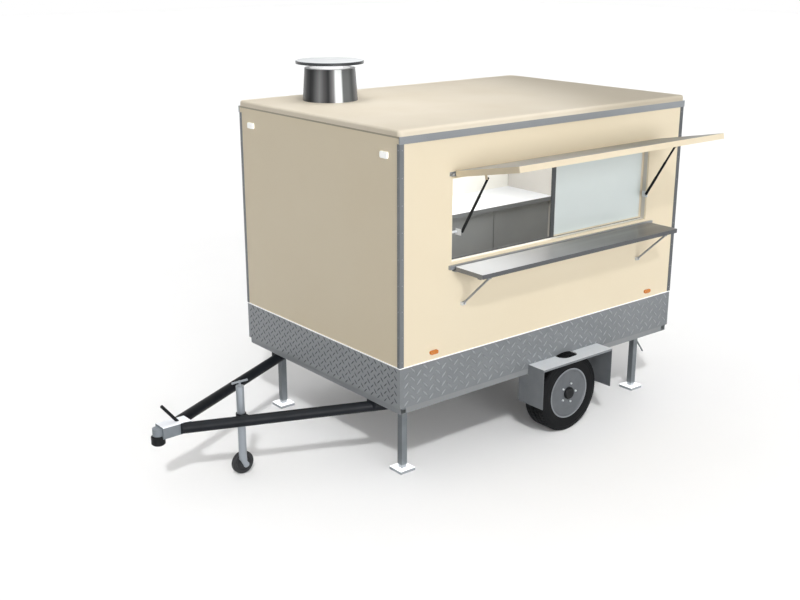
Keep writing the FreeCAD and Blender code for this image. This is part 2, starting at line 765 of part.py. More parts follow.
panel = block(flap_x0, flap_x1, flap_out, flap_in, flap_low, flap_top)
panel = ends_along(panel, Y, lamp_round)
pan = block(flap_x0 + flap_frame_width, flap_x1 - flap_frame_width, flap_out + flap_skin, flap_in,
            flap_low + flap_frame_width, flap_top - flap_frame_width)
panel = panel.cut(pan)
for share in flap_rib_shares:
    middle = flap_x0 + (flap_x1 - flap_x0) * share
    rib = block(middle - flap_rib_width / 2, middle + flap_rib_width / 2, flap_out + flap_skin,
                flap_in - rail_wall * 3, flap_low + flap_frame_width, flap_top - flap_frame_width)
    panel = panel.fuse(rib)

hinge_x0 = x_front + hinge_front
hinge_x1 = x_rear - hinge_rear_inset
pitch = (hinge_x1 - hinge_x0) / hinge_knuckles
strip = block(hinge_x0, hinge_x1, -y_wall - hinge_leaf, -y_wall, flap_axis_z - hinge_barrel_radius,
              flap_axis_z - hinge_barrel_radius + hinge_leaf_height)
pin_start = Vector(hinge_x0, flap_axis_y, flap_axis_z)
pin = rod(pin_start, Vector(hinge_x1, flap_axis_y, flap_axis_z), hinge_pin_radius)
fixed = [strip, pin]
for index in range(hinge_knuckles):
    x0 = hinge_x0 + pitch * index
    x1 = x0 + pitch
    start = Vector(x0 + seat_gap, flap_axis_y, flap_axis_z)
    end = Vector(x1 - seat_gap, flap_axis_y, flap_axis_z)
    if index % 2 == 0:
        barrel = rod(Vector(x0, flap_axis_y, flap_axis_z), Vector(x1, flap_axis_y, flap_axis_z),
                     hinge_barrel_radius)
        web = block(x0, x1, flap_axis_y, -y_wall, flap_axis_z + hinge_barrel_radius - hinge_leaf,
                    flap_axis_z + hinge_barrel_radius)
        fixed.extend([barrel, web])
    else:
        barrel = rod(start, end, hinge_barrel_radius)
        wing = block(x0 + seat_gap, x1 - seat_gap, flap_axis_y - hinge_barrel_radius,
                     flap_axis_y - hinge_barrel_radius + hinge_leaf, flap_top, flap_axis_z)
        hole = rod(start.sub(X), end.add(X), hinge_pin_radius + pin_fit)
        panel = panel.fuse(barrel).fuse(wing).cut(hole)
save("hatch_hinge_bar", [fused(fixed)])

# Gas stays: three telescoping lengths each, on a foot plate in the opening and an eye plate on the flap
stay_foot = Vector(0, -y_wall - stay_foot_out, z_low + stay_foot_up)
shut_eye = Vector(0, flap_in + stay_eye_drop, flap_axis_z - stay_eye_reach)
spin = FreeCAD.Rotation(X, -flap_open_angle)
open_eye = axis_point.add(spin.multVec(shut_eye.sub(axis_point)))
stay_run = open_eye.sub(stay_foot)
stay_long = stay_run.Length
stay_way = Vector(stay_run).normalize()
mid_start = stay_tube_length - stay_tube_radius * 2
mid_length = stay_tube_length - stay_eye_radius * stay_room_share
rod_start = mid_start + mid_length - stay_tube_radius * 2


def along_stay(x_at, distance):
    base = Vector(x_at, stay_foot.y, stay_foot.z)
    return base.add(stay_way * distance)


def eye_at(x_at, centre, radius):
    start = Vector(x_at - stay_eye_thick / 2, centre.y, centre.z)
    return rod(start, start.add(X * stay_eye_thick), radius)


foot_plates = []
stay_tubes = []
stay_sleeves = []
stay_rods = []
for side, x_at in (("front", stay_x[0]), ("rear", stay_x[1])):
    hand = -1 if side == "front" else 1
    root = stay_eye_radius * stay_root_share
    body = rod(along_stay(x_at, root), along_stay(x_at, stay_tube_length), stay_tube_radius)
    bore_start = along_stay(x_at, stay_eye_radius * stay_bore_share)
    body = body.cut(rod(bore_start, along_stay(x_at, stay_tube_length * 2), stay_mid_radius + pin_fit))
    eye = eye_at(x_at, along_stay(x_at, 0), stay_eye_radius)
    body = body.fuse(eye).removeSplitter()
    foot = Vector(x_at, stay_foot.y, stay_foot.z)
    body = body.cut(rod(foot.sub(X * stay_eye_radius * 2), foot.add(X * stay_eye_radius * 2),
                        stay_pin_radius + pin_fit))
    stay_tubes.append(body)
    mid = rod(along_stay(x_at, mid_start), along_stay(x_at, mid_start + mid_length), stay_mid_radius)
    mid = mid.cut(rod(along_stay(x_at, mid_start + stay_pin_radius), along_stay(x_at, stay_long),
                      stay_rod_radius + pin_fit))
    stay_sleeves.append(mid)
    piston = rod(along_stay(x_at, rod_start), along_stay(x_at, stay_long - root), stay_rod_radius)
    top_eye = eye_at(x_at, along_stay(x_at, stay_long), stay_eye_radius)
    stay_rods.append(piston.fuse(top_eye))
    lane = x_at + hand * (stay_tube_radius + seat_gap * 2)
    plate_end = lane + hand * stay_plate
    jamb = hatch_x0 if side == "front" else hatch_x1
    x0, x1 = sorted((lane, plate_end))
    half_plate = stay_plate_height / 2
    plate = block(x0, x1, stay_foot.y - stay_eye_radius, -y_wall + stay_foot_out,
                  stay_foot.z - half_plate, stay_foot.z + half_plate)
    x0, x1 = sorted((jamb, lane))
    arm = block(x0, x1, -y_wall + stay_foot_out / 2, -y_wall + stay_foot_out,
                stay_foot.z - half_plate * stay_arm_share, stay_foot.z + half_plate * stay_arm_share)
    pin_start = Vector(lane, stay_foot.y, stay_foot.z)
    foot_pin = rod(pin_start, foot.sub(X * hand * stay_eye_thick), stay_pin_radius)
    foot_plates.append(fused([plate, arm, foot_pin]))
    x0, x1 = sorted((lane, plate_end))
    ear_half = stay_eye_radius * stay_room_share
    ear = block(x0, x1, flap_out + flap_skin, shut_eye.y + stay_eye_radius,
                shut_eye.z - ear_half, shut_eye.z + ear_half)
    panel = panel.fuse(ear)
save("stay_tubes", stay_tubes)
save("stay_sleeves", stay_sleeves)
save("stay_rods", stay_rods)
save("hatch_flap", [opened(panel.removeSplitter())])

# Serving shelf: a folded tray hinged on a wall rail, and two braces from the wall
shelf_x0 = x_front + shelf_front
shelf_x1 = x_rear - shelf_rear_inset
shelf_z = z_low + shelf_top
shelf_y1 = -y_wall - shelf_gap
shelf_y0 = shelf_y1 - shelf_depth
tray = block(shelf_x0, shelf_x1, shelf_y0, shelf_y1, shelf_z - shelf_thick, shelf_z)
tray = ends_along(tray, Z, lamp_round)
tray = tray.cut(block(shelf_x0 + shelf_sheet, shelf_x1 - shelf_sheet, shelf_y0 + shelf_sheet,
                      shelf_y1 - shelf_sheet, shelf_z - shelf_thick, shelf_z - shelf_sheet))
ribs = []
for share in shelf_rib_shares:
    middle = shelf_x0 + (shelf_x1 - shelf_x0) * share
    rib_low = shelf_z - shelf_thick * shelf_rib_share
    ribs.append(block(middle - flap_rib_width / 2, middle + flap_rib_width / 2, shelf_y0 + shelf_sheet,
                      shelf_y1 - shelf_sheet, rib_low, shelf_z - shelf_sheet))
shelf_axis_z = shelf_z - shelf_thick
barrel_r = hinge_barrel_radius * shelf_hinge_share
knuckle = (shelf_x1 - shelf_x0) / shelf_knuckles
shelf_fixed = []
rail_x0 = x_front + hinge_front
rail_x1 = x_rear - hinge_rear_inset
shelf_fixed.append(block(rail_x0, rail_x1, -y_wall - rail_strip_depth, -y_wall,
                         shelf_axis_z + hinge_leaf * 3, shelf_axis_z + hinge_leaf * 3 + rail_strip_height))
hinge_line = []
fixed_line = []
leaf_line = []
for index in range(shelf_knuckles):
    x0 = shelf_x0 + knuckle * index
    x1 = x0 + knuckle
    start = Vector(x0 + seat_gap, shelf_y1, shelf_axis_z)
    end = Vector(x1 - seat_gap, shelf_y1, shelf_axis_z)
    if index % 2 == 0:
        barrel = rod(Vector(x0, shelf_y1, shelf_axis_z), Vector(x1, shelf_y1, shelf_axis_z), barrel_r)
        strap_low = shelf_axis_z - barrel_r
        strap = block(x0, x1, shelf_y1, -y_wall, strap_low, strap_low + hinge_leaf)
        strap = strap.fuse(block(x0, x1, -y_wall - hinge_leaf, -y_wall, strap_low,
                                 shelf_axis_z + hinge_leaf * 3))
        hinge_line.extend([barrel, strap])
        fixed_line.append((x0, x1))
    else:
        leaf_line.append((start, end))
hinge_line.append(rod(Vector(shelf_x0, shelf_y1, shelf_axis_z), Vector(shelf_x1, shelf_y1, shelf_axis_z),
                      hinge_pin_radius * shelf_pin_share))
brace_foot = Vector(0, -y_wall - brace_foot_out, z_low + brace_foot_up)
brace_top = Vector(0, -y_wall - brace_reach - brace_foot_out, shelf_axis_z - brace_radius * 2)
bar_low = brace_top.z + brace_radius + seat_gap
shelf_bar = block(shelf_x0 + shelf_sheet, shelf_x1 - shelf_sheet, brace_top.y - brace_radius * 2,
                  brace_top.y + brace_radius * 2, bar_low, shelf_z - shelf_sheet)
shelf_whole = fused([tray] + ribs + [shelf_bar])
for x0, x1 in fixed_line:
    shelf_whole = shelf_whole.cut(rod(Vector(x0 - seat_gap, shelf_y1, shelf_axis_z),
                                      Vector(x1 + seat_gap, shelf_y1, shelf_axis_z), barrel_r + seat_gap))
for start, end in leaf_line:
    shelf_whole = shelf_whole.fuse(rod(start, end, barrel_r))
shelf_whole = shelf_whole.removeSplitter()
shelf_whole = shelf_whole.cut(rod(Vector(shelf_x0 - brace_inset, shelf_y1, shelf_axis_z),
                                  Vector(shelf_x1 + brace_inset, shelf_y1, shelf_axis_z),
                                  hinge_pin_radius * shelf_pin_share + pin_fit))
save("serving_shelf", [shelf_whole])
save("shelf_rail", [fused(hinge_line + shelf_fixed)])

braces = []
brace_plates = []
for side, x_at in (("front", shelf_x0 + brace_inset), ("rear", shelf_x1 - brace_inset)):
    foot = Vector(x_at, brace_foot.y, brace_foot.z)
    tip = Vector(x_at, brace_top.y, brace_top.z)
    bar = rod(foot, tip, brace_radius)
    shoe = rod(tip.sub(X * brace_radius * 2), tip.add(X * brace_radius * 2), brace_radius)
    ring_radius = brace_radius * brace_ring_share
    ring = rod(foot.sub(X * brace_radius), foot.add(X * brace_radius), ring_radius)
    hole = rod(foot.sub(X * brace_radius * 3), foot.add(X * brace_radius * 3), stay_pin_radius + pin_fit)
    brace = fused([bar, shoe, ring]).cut(hole)
    braces.append(brace)
    parts = [rod(foot.sub(X * brace_radius * 2), foot.add(X * brace_radius * 2), stay_pin_radius)]
    for hand in (-1, 1):
        x0, x1 = sorted((x_at + hand * (brace_radius + seat_gap), x_at + hand * (brace_radius * 2)))
        parts.append(block(x0, x1, foot.y - ring_radius, -y_wall, foot.z - ring_radius, foot.z + ring_radius))
    brace_plates.append(fused(parts))
save("shelf_braces", braces)
save("stay_brackets", foot_plates + brace_plates)

# Sliding window behind the opening, its near pane slid back over the far one
tracks = []
for z0 in (hatch_z0 - track_height, hatch_z1):
    rail = block(hatch_x0 - track_height, hatch_x1 + track_height, -inner_y, track_depth - inner_y,
                 z0, z0 + track_height)
    if z0 < hatch_z0:
        groove_z = (z0 + track_height / 2, z0 + track_height)
    else:
        groove_z = (z0, z0 + track_height / 2)
    for index in range(2):
        y0 = -inner_y + move_gap + index * (stile_thick + pane_gap)
        rail = rail.cut(block(hatch_x0, hatch_x1, y0, y0 + stile_thick, groove_z[0], groove_z[1]))
    tracks.append(rail)
posts = []
for x0, x1 in ((hatch_x0 - track_height, hatch_x0), (hatch_x1, hatch_x1 + track_height)):
    posts.append(block(x0, x1, -inner_y, track_depth - inner_y, hatch_z0, hatch_z1))
save("window_frame", [fused(tracks + posts)])
middle_x = (hatch_x0 + hatch_x1) / 2
panes = []
stiles = []
for index in range(2):
    y0 = -inner_y + move_gap + index * (stile_thick + pane_gap) + seat_gap
    y1 = y0 + stile_thick - seat_gap * 2
    x0 = middle_x + index * stile_width / 2
    x1 = hatch_x1 - seat_gap
    z0 = hatch_z0 - track_height / 2 + seat_gap
    z1 = hatch_z1 + track_height / 2 - seat_gap
    sash = block(x0, x1, y0, y1, z0, z1)
    hole = block(x0 + stile_width, x1 - stile_width / 2, y0, y1, hatch_z0 + stile_width / 2,
                 hatch_z1 - stile_width / 2)
    stiles.append(sash.cut(hole))
    mid = (y0 + y1) / 2
    panes.append(block(x0 + stile_width, x1 - stile_width / 2, mid - pane_thick / 2, mid + pane_thick / 2,
                       hatch_z0 + stile_width / 2, hatch_z1 - stile_width / 2))
save("window_sashes", stiles)
save("window_panes", panes)
sill = block(hatch_x0, hatch_x1, -y_wall - sill_lip, -inner_y, hatch_z0, hatch_z0 + sill_thick)
save("serving_wall", [left_wall.cut(well).fuse(sill).removeSplitter()])

# Counter along the off side: a worktop on a cabinet with doors
counter_y0 = inner_y - counter_depth
counter_x0 = x_front + wall_thick + counter_end_gap
counter_x1 = x_rear - wall_thick
top_z = z_low + counter_height
worktop = block(counter_x0, counter_x1, counter_y0, inner_y, top_z - worktop_thick, top_z)
save("worktop", [worktop])
cabinet_y = counter_y0 + worktop_overhang
cabinet_top = top_z - worktop_thick
cabinet = block(counter_x0, counter_x1, cabinet_y, inner_y, z_floor + cabinet_plinth, cabinet_top)
cabinet_back = inner_y - cabinet_sheet
cabinet = cabinet.cut(block(counter_x0 + cabinet_sheet, counter_x1 - cabinet_sheet,
                            cabinet_y + cabinet_sheet * 2, cabinet_back,
                            z_floor + cabinet_plinth + cabinet_sheet, cabinet_top))
bay = (counter_x1 - counter_x0) / cabinet_doors
for index in range(1, cabinet_doors):
    middle = counter_x0 + bay * index
    cabinet = cabinet.cut(block(middle - cabinet_door_gap / 2, middle + cabinet_door_gap / 2, cabinet_y,
                                cabinet_y + cabinet_sheet, z_floor, cabinet_top - cabinet_door_gap))
plinth_y = cabinet_y + cabinet_plinth
plinth = block(counter_x0, counter_x1, plinth_y, inner_y, z_floor, z_floor + cabinet_plinth)
save("counter_cabinet", [cabinet.fuse(plinth).removeSplitter()])

# Rear door with its hinges, lever and lock plate
leaf_x0 = x_rear - wall_thick
leaf = block(leaf_x0, x_rear, door_y0 + move_gap, door_y1 - move_gap,
             z_floor + move_gap, door_top - move_gap)
save("rear_door", [leaf])
door_axis_x = x_rear + door_barrel + door_hinge_sheet * 2
door_axis_y = door_y1
fixed_hinges = []
moving_hinges = []
for index in range(door_hinge_count):
    z_mid = z_floor + door_height * (index + 0.5) / door_hinge_count
    low = z_mid - door_knuckle * 1.5
    for step in range(3):
        z0 = low + door_knuckle * step
        z1 = z0 + door_knuckle
        if step != 1:
            base = Vector(door_axis_x, door_axis_y, z0)
            barrel = rod(base, Vector(door_axis_x, door_axis_y, z1), door_barrel)
            web = block(x_rear, door_axis_x, door_axis_y + door_barrel - door_hinge_sheet,
                        door_axis_y + door_barrel, z0, z1)
            fixed_hinges.append((barrel, web))
    pin_low = Vector(door_axis_x, door_axis_y, low)
    pin = rod(pin_low, pin_low.add(Z * door_knuckle * 3), door_pin)
    wing = block(x_rear, x_rear + door_hinge_sheet, door_axis_y + seat_gap, door_axis_y + door_hinge_wing,
                 low, low + door_knuckle * 3)
    pieces = [pin, wing]
    for barrel, web in fixed_hinges[-2:]:
        pieces.extend([barrel, web])
    fixed_hinges = fixed_hinges[:-2]
    fixed_hinges.append(fused(pieces))
    start = Vector(door_axis_x, door_axis_y, low + door_knuckle + seat_gap)
    end = Vector(door_axis_x, door_axis_y, low + door_knuckle * 2 - seat_gap)
    barrel = rod(start, end, door_barrel)
    web = block(x_rear, door_axis_x, door_axis_y - door_barrel, door_axis_y - door_barrel + door_hinge_sheet,
                start.z, end.z)
    wing = block(x_rear, x_rear + door_hinge_sheet, door_axis_y - door_hinge_wing,
                 door_axis_y - door_barrel + door_hinge_sheet, start.z, end.z)
    moved = fused([barrel, web, wing])
    moving_hinges.append(moved.cut(rod(start.sub(Z), end.add(Z), door_pin + pin_fit)))
save("door_hinge_frames", fixed_hinges)
lever_y = door_y0 + move_gap + lever_plate_width
lever_z = z_floor + door_height * lever_height_share
half_width = lever_plate_width / 2
half_height = lever_plate_height / 2
plate = block(x_rear, x_rear + lever_plate_thick, lever_y - half_width, lever_y + half_width,
              lever_z - half_height, lever_z + half_height)
plate = ends_along(plate, X, lamp_round)
neck = rod(Vector(x_rear, lever_y, lever_z), Vector(x_rear + lever_stand, lever_y, lever_z), lever_radius)
bar = rod(Vector(x_rear + lever_stand, lever_y - lever_radius, lever_z),
          Vector(x_rear + lever_stand, lever_y + lever_length, lever_z), lever_radius)
save("door_fittings", [plate.fuse(neck).fuse(bar)] + moving_hinges)

# Roof vent: a tapered stack, a neck, and a flat cap over it
vent_centre = Vector(x_front + vent_x, y_wall - vent_side_inset, z_roof)
rim_z = vent_cap_top - vent_cap_rim
outline = [(0, 0), (0, vent_base_radius), (vent_height, vent_top_radius), (vent_height, vent_neck_radius),
           (rim_z, vent_neck_radius), (rim_z, 0)]
save("roof_vent", [spun(outline, vent_centre, Z)])
outline = [(rim_z, 0), (rim_z, vent_cap_radius), (vent_cap_top - vent_sheet, vent_cap_radius),
           (vent_cap_top, vent_cap_radius - vent_sheet), (vent_cap_top, 0)]
save("vent_cap", [spun(outline, vent_centre, Z)])


# Lamps: white on the front, orange on the long sides, red at the back
def lamp_on_x(x_at, out, y_at, z_at, width, height, depth):
    x0, x1 = sorted((x_at, x_at + out * depth))
    lens = block(x0, x1, y_at - width / 2, y_at + width / 2, z_at - height / 2, z_at + height / 2)
    return ends_along(lens, X, lamp_round)


front_lamps = []
rear_lamps = []
side_lamps = []
for y_at in (lamp_side_inset - y_wall, y_wall - lamp_side_inset):
    front_lamps.append(lamp_on_x(x_front, -1, y_at, z_low + lamp_up, lamp_width, lamp_height, lamp_depth))
for y_at in (rear_lamp_inset - y_wall, y_wall - rear_lamp_inset):
    rear_lamps.append(lamp_on_x(x_rear + skin, 1, y_at, z_low + rear_lamp_up, rear_lamp_width,
                                rear_lamp_height, rear_lamp_depth))
for x_at in (x_front + marker_inset, x_rear - marker_inset):
    lens = block(x_at - marker_width / 2, x_at + marker_width / 2, -y_wall - marker_depth, -y_wall,
                 z_low + marker_up - marker_height / 2, z_low + marker_up + marker_height / 2)
    lens = ends_along(lens, Y, marker_round)
    side_lamps.extend(pair(lens))
save("front_lamps", front_lamps)
save("rear_lamps", rear_lamps)
save("side_markers", side_lamps)
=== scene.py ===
# Kitchen trailer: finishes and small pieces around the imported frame, in metres
import bmesh
import bpy
import math
from mathutils import Matrix, Vector


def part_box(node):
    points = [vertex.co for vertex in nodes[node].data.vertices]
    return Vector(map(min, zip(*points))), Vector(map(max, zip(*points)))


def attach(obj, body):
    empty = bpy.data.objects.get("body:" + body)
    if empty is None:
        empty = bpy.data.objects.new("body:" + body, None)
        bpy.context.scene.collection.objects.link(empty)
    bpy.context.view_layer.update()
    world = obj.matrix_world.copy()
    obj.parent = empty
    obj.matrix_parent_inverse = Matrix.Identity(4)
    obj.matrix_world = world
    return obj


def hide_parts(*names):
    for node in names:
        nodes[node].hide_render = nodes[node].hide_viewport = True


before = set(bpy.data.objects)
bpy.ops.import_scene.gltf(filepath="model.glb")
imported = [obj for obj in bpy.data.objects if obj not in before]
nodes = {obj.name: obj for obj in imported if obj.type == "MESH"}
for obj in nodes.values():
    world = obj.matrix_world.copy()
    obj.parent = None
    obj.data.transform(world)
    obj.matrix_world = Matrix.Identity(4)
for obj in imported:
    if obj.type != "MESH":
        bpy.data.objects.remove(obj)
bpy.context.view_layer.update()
mm = 0.001
print("frame loaded:", len(nodes), "nodes")


# sRGB hex to the linear values that the shaders take
def tint(code):
    channels = []
    for start in (0, 2, 4):
        value = int(code[start:start + 2], 16) / 255
        channels.append(value / 12.92 if value <= 0.04045 else ((value + 0.055) / 1.055) ** 2.4)
    return (channels[0], channels[1], channels[2], 1)


# adds one node; settings are inputs or attributes, links are sockets to join to its inputs
def addNode(tree, kind, settings=None, links=None):
    node = tree.nodes.new(kind)
    attributes = [name for name in (settings or {}) if not isinstance(name, int) and hasattr(node, name)]
    for name in attributes:
        setattr(node, name, settings[name])
    for name, value in (settings or {}).items():
        if name not in attributes:
            node.inputs[name].default_value = value
    for name, source in (links or {}).items():
        tree.links.new(source, node.inputs[name])
    return node


# starts a material: a Principled shader with its fixed inputs, and where a point lies and faces
def startFinish(name, settings):
    material = bpy.data.materials.new(name)
    material.use_nodes = True
    tree = material.node_tree
    tree.nodes.clear()
    shader = addNode(tree, "ShaderNodeBsdfPrincipled", settings)
    addNode(tree, "ShaderNodeOutputMaterial", links={"Surface": shader.outputs[0]})
    coords = addNode(tree, "ShaderNodeTexCoord")
    place = addNode(tree, "ShaderNodeSeparateXYZ", links={0: coords.outputs["Object"]})
    facing = addNode(tree, "ShaderNodeSeparateXYZ", links={0: coords.outputs["Normal"]})
    return {"material": material, "tree": tree, "shader": shader, "here": coords.outputs["Object"],
            "normal": coords.outputs["Normal"], "place": place.outputs, "facing": facing.outputs}


# soft mottling whose largest blotches are sizeMm across, longer along an axis where stretch says
def mottling(finish, sizeMm, detail, stretch=(1, 1, 1)):
    scale = [1 / (sizeMm * mm * factor) for factor in stretch]
    mapping = addNode(finish["tree"], "ShaderNodeMapping", {"Scale": scale}, {"Vector": finish["here"]})
    noise = addNode(finish["tree"], "ShaderNodeTexNoise", {"Scale": 1.0, "Detail": detail, "Roughness": 0.5},
                    {"Vector": mapping.outputs[0]})
    return noise.outputs[0]


# paints another colour over the finish where a value passes from low to high
def paintWhere(finish, value, low, high, code, strength=1.0):
    tree, shader = finish["tree"], finish["shader"]
    edge = addNode(tree, "ShaderNodeMapRange",
                   {"From Min": low, "From Max": high, "To Max": strength,
                    "interpolation_type": "SMOOTHSTEP"}, {"Value": value})
    under = shader.inputs["Base Color"].links[0].from_socket
    paint = addNode(tree, "ShaderNodeMix", {"data_type": "RGBA", 7: tint(code)},
                    {0: edge.outputs[0], 6: under})
    tree.links.new(paint.outputs[2], shader.inputs["Base Color"])


# the same over the faces for which a reading of the normal is near 1, or near -1 where sign is -1
def paintFaces(finish, reading, sign, code):
    paintWhere(finish, reading, 0.5 * sign, 0.8 * sign, code)


# how far a point faces along an axis, kept only where a value passes a limit
def facingWhere(finish, axis, value, operation, limit):
    passed = addNode(finish["tree"], "ShaderNodeMath", {"operation": operation, 1: limit}, {0: value})
    kept = addNode(finish["tree"], "ShaderNodeMath", {"operation": "MULTIPLY"},
                   {0: passed.outputs[0], 1: finish["facing"][axis]})
    return kept.outputs[0]


# the layers that most finishes share: blotches of a second tone, uneven gloss, and a fine grain given as
# its size and depth
def layeredFinish(name, look, settings):
    finish = startFinish(name, settings)
    tree, shader = finish["tree"], finish["shader"]
    stretch = look.get("stretch", (1, 1, 1))
    blotch = mottling(finish, look["blotchMm"], 4.0, stretch)
    grainSize, grainDepth = look["grainMm"]
    grain = mottling(finish, grainSize, 2.0, stretch)
    amount = addNode(tree, "ShaderNodeMapRange", {"From Min": 0.35, "From Max": 0.68}, {"Value": blotch})
    base, tone = tint(look["base"]), tint(look["tone"])
    colour = addNode(tree, "ShaderNodeMix", {"data_type": "RGBA", 6: base, 7: tone}, {0: amount.outputs[0]})
    tree.links.new(colour.outputs[2], shader.inputs["Base Color"])
    smooth, dull = look["rough"]
    gloss = addNode(tree, "ShaderNodeMapRange",
                    {"From Min": 0.3, "From Max": 0.7, "To Min": smooth, "To Max": dull}, {"Value": blotch})
    tree.links.new(gloss.outputs[0], shader.inputs["Roughness"])
    bump = addNode(tree, "ShaderNodeBump", {"Distance": grainDepth * mm}, {"Height": grain})
    tree.links.new(bump.outputs[0], shader.inputs["Normal"])
    if "fleck" in look:
        paintWhere(finish, grain, 0.6, 0.75, look["fleck"], 0.5)
    return finish


def dress(finish, *names):
    for name in names:
        if not nodes[name].material_slots:
            nodes[name].data.materials.append(finish["material"])
        for slot in nodes[name].material_slots:
            slot.material = finish["material"]


# the sizes that the looks are worked out from, read from the frame's boxes
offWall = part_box("off_side_wall")
frontX, rearX, wallY = offWall[0].x, offWall[1].x, offWall[1].y
lowZ, eaveZ = offWall[0].z, offWall[1].z
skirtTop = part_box("tread_skirt")[1].z
beadHeight = 7 * mm
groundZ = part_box("foot_front_left")[0].z
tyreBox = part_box("tyre_left")
wheelX, wheelZ = (tyreBox[0].x + tyreBox[1].x) / 2, (tyreBox[0].z + tyreBox[1].z) / 2
tyreRadius = (tyreBox[1].x - tyreBox[0].x) / 2


# Finishes
# two-pack enamel, sprayed: even cream, satin, a faint orange peel; white laminate on the room side
def creamEnamel():
    look = {"base": "F0E3C8", "tone": "EEE0C4", "blotchMm": 900, "grainMm": (4, 0.02),
            "rough": (0.45, 0.52)}
    finish = layeredFinish("creamEnamel", look, {"IOR": 1.45})
    tree, place = finish["tree"], finish["place"]
    # depth inwards from the nearest of the side, front and rear faces; the room side lies past the inset
    inset = 15 * mm
    side = addNode(tree, "ShaderNodeMath", {"operation": "ABSOLUTE"}, {0: place[1]})
    distances = []
    for face, point in (({0: wallY}, {1: side.outputs[0]}), ({1: frontX}, {0: place[0]}),
                        ({0: rearX}, {1: place[0]})):
        distances.append(addNode(tree, "ShaderNodeMath", {"operation": "SUBTRACT", **face}, point).outputs[0])
    depth = distances[0]
    for distance in distances[1:]:
        depth = addNode(tree, "ShaderNodeMath", {"operation": "MINIMUM"}, {0: depth, 1: distance}).outputs[0]
    paintWhere(finish, depth, inset, inset + mm, "F7F5EE")
    # the room's end wall is painted greyer, a painted shade, so that the corner of the room shows
    paintFaces(finish, facingWhere(finish, 0, depth, "GREATER_THAN", inset), -1, "CCC9C4")
    # a painted shadow line under the roof's edge at the front and rear
    shadowLineDrop = 12 * mm
    paintWhere(finish, place[2], eaveZ - shadowLineDrop - mm, eaveZ - shadowLineDrop, "A89E88", 0.8)
    return finish


# the same enamel on the roof, a little paler
def roofEnamel():
    look = {"base": "F0E6D3", "tone": "EBE0CB", "blotchMm": 700, "grainMm": (5, 0.03),
            "rough": (0.55, 0.65)}
    finish = layeredFinish("roofEnamel", look, {"IOR": 1.45, "Specular IOR Level": 0.2})
    # painted shade: darker towards the rear, and sooner on the serving side, a painted falloff of the light
    skew, start, end = -0.4, rearX - 1.15, rearX - 0.15
    slope = addNode(finish["tree"], "ShaderNodeMath", {"operation": "MULTIPLY_ADD", 1: skew},
                    {0: finish["place"][1], 2: finish["place"][0]})
    paintWhere(finish, slope.outputs[0], start, end, "C9BFAC")
    return finish


# flap: cream enamel on its edges and pan; its upper side is painted grey taupe, a painted shade that darkens
# towards the rear, and its front end is painted a darker cream shade
def flapEnamel():
    look = {"base": "F0E3C8", "tone": "EDDFC3", "blotchMm": 500, "grainMm": (4, 0.02), "rough": (0.4, 0.5)}
    finish = layeredFinish("flapEnamel", look, {"IOR": 1.45})
    tree = finish["tree"]
    # the open flap leans down by this much towards the street
    lean = math.radians(11)
    up = (0, math.sin(lean), math.cos(lean))
    skyward = addNode(tree, "ShaderNodeVectorMath", {"operation": "DOT_PRODUCT", 1: up},
                      {0: finish["normal"]})
    # painted shade: the upper side, which faces the sky when open, is painted grey taupe
    paintWhere(finish, skyward.outputs["Value"], 0.8, 0.9, "A8A5A0")
    low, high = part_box("hatch_flap")
    rearward = addNode(tree, "ShaderNodeMapRange", {"From Min": low.x, "From Max": high.x},
                       {"Value": finish["place"][0]})
    rearShade = addNode(tree, "ShaderNodeMath", {"operation": "MULTIPLY"},
                   {0: rearward.outputs[0], 1: skyward.outputs["Value"]})
    # painted shade that deepens towards the rear
    paintWhere(finish, rearShade.outputs[0], 0.1, 0.8, "807E74")
    # painted shade: the flap's front end faces are painted a darker cream
    paintFaces(finish, finish["facing"][0], -1, "DDD0B6")
    return finish


# rolled tread plate, mill aluminium: dull mid grey, faint rolling streaks, a white bead along its top; the
# front faces are painted lighter, painted light against their shade
def treadPlate():
    look = {"base": "84888B", "tone": "7C8083", "blotchMm": 240, "grainMm": (2.2, 0.05),
            "rough": (0.4, 0.52), "stretch": (3, 3, 1)}
    finish = layeredFinish("treadPlate", look, {"Metallic": 0.15, "Emission Color": (1, 1, 1, 1)})
    tree = finish["tree"]
    # painted light: the faces at the front are painted lighter to lift their shade
    paintFaces(finish, finish["facing"][0], -1, "9A9EA1")
    beadLow = skirtTop - beadHeight
    paintWhere(finish, finish["place"][2], beadLow - mm, beadLow, "F6F6F4")
    # the bead also glows a little, painted light, so that it stays white on the shaded side too
    beadGlow = addNode(tree, "ShaderNodeMapRange", {"From Min": beadLow - mm, "From Max": beadLow, "To Max": 0.3},
                   {"Value": finish["place"][2]})
    tree.links.new(beadGlow.outputs[0], finish["shader"].inputs["Emission Strength"])
    return finish


# the lozenges stand proud; they are painted lighter than the sheet, a painted highlight, and those on the
# front face are painted dark, a painted shade
def rubbedAluminium():
    look = {"base": "A2A6AA", "tone": "999DA1", "blotchMm": 120, "grainMm": (2, 0.04), "rough": (0.28, 0.4)}
    finish = layeredFinish("rubbedAluminium", look, {"Metallic": 0.2})
    # painted shade: the lozenges on the front face are painted dark
    paintWhere(finish, finish["place"][0], frontX, frontX - mm, "55585C")
    return finish


# anodised aluminium extrusion: mid grey, satin, fine lines along the bar
def anodisedTrim(name, base, tone):
    look = {"base": base, "tone": tone, "blotchMm": 160, "grainMm": (1.2, 0.02), "rough": (0.36, 0.46),
            "stretch": (6, 6, 6)}
    return layeredFinish(name, look, {"Metallic": 0.1})


# the corner trims are a shade darker, and the serving-side face of the rear one is painted darker again, a
# painted shade
def anodisedCorner():
    finish = anodisedTrim("anodisedCorner", "7A7E81", "73777A")
    rearTrim = rearX - 60 * mm
    paintFaces(finish, facingWhere(finish, 1, finish["place"][0], "GREATER_THAN", rearTrim), -1, "5A5D60")
    return finish


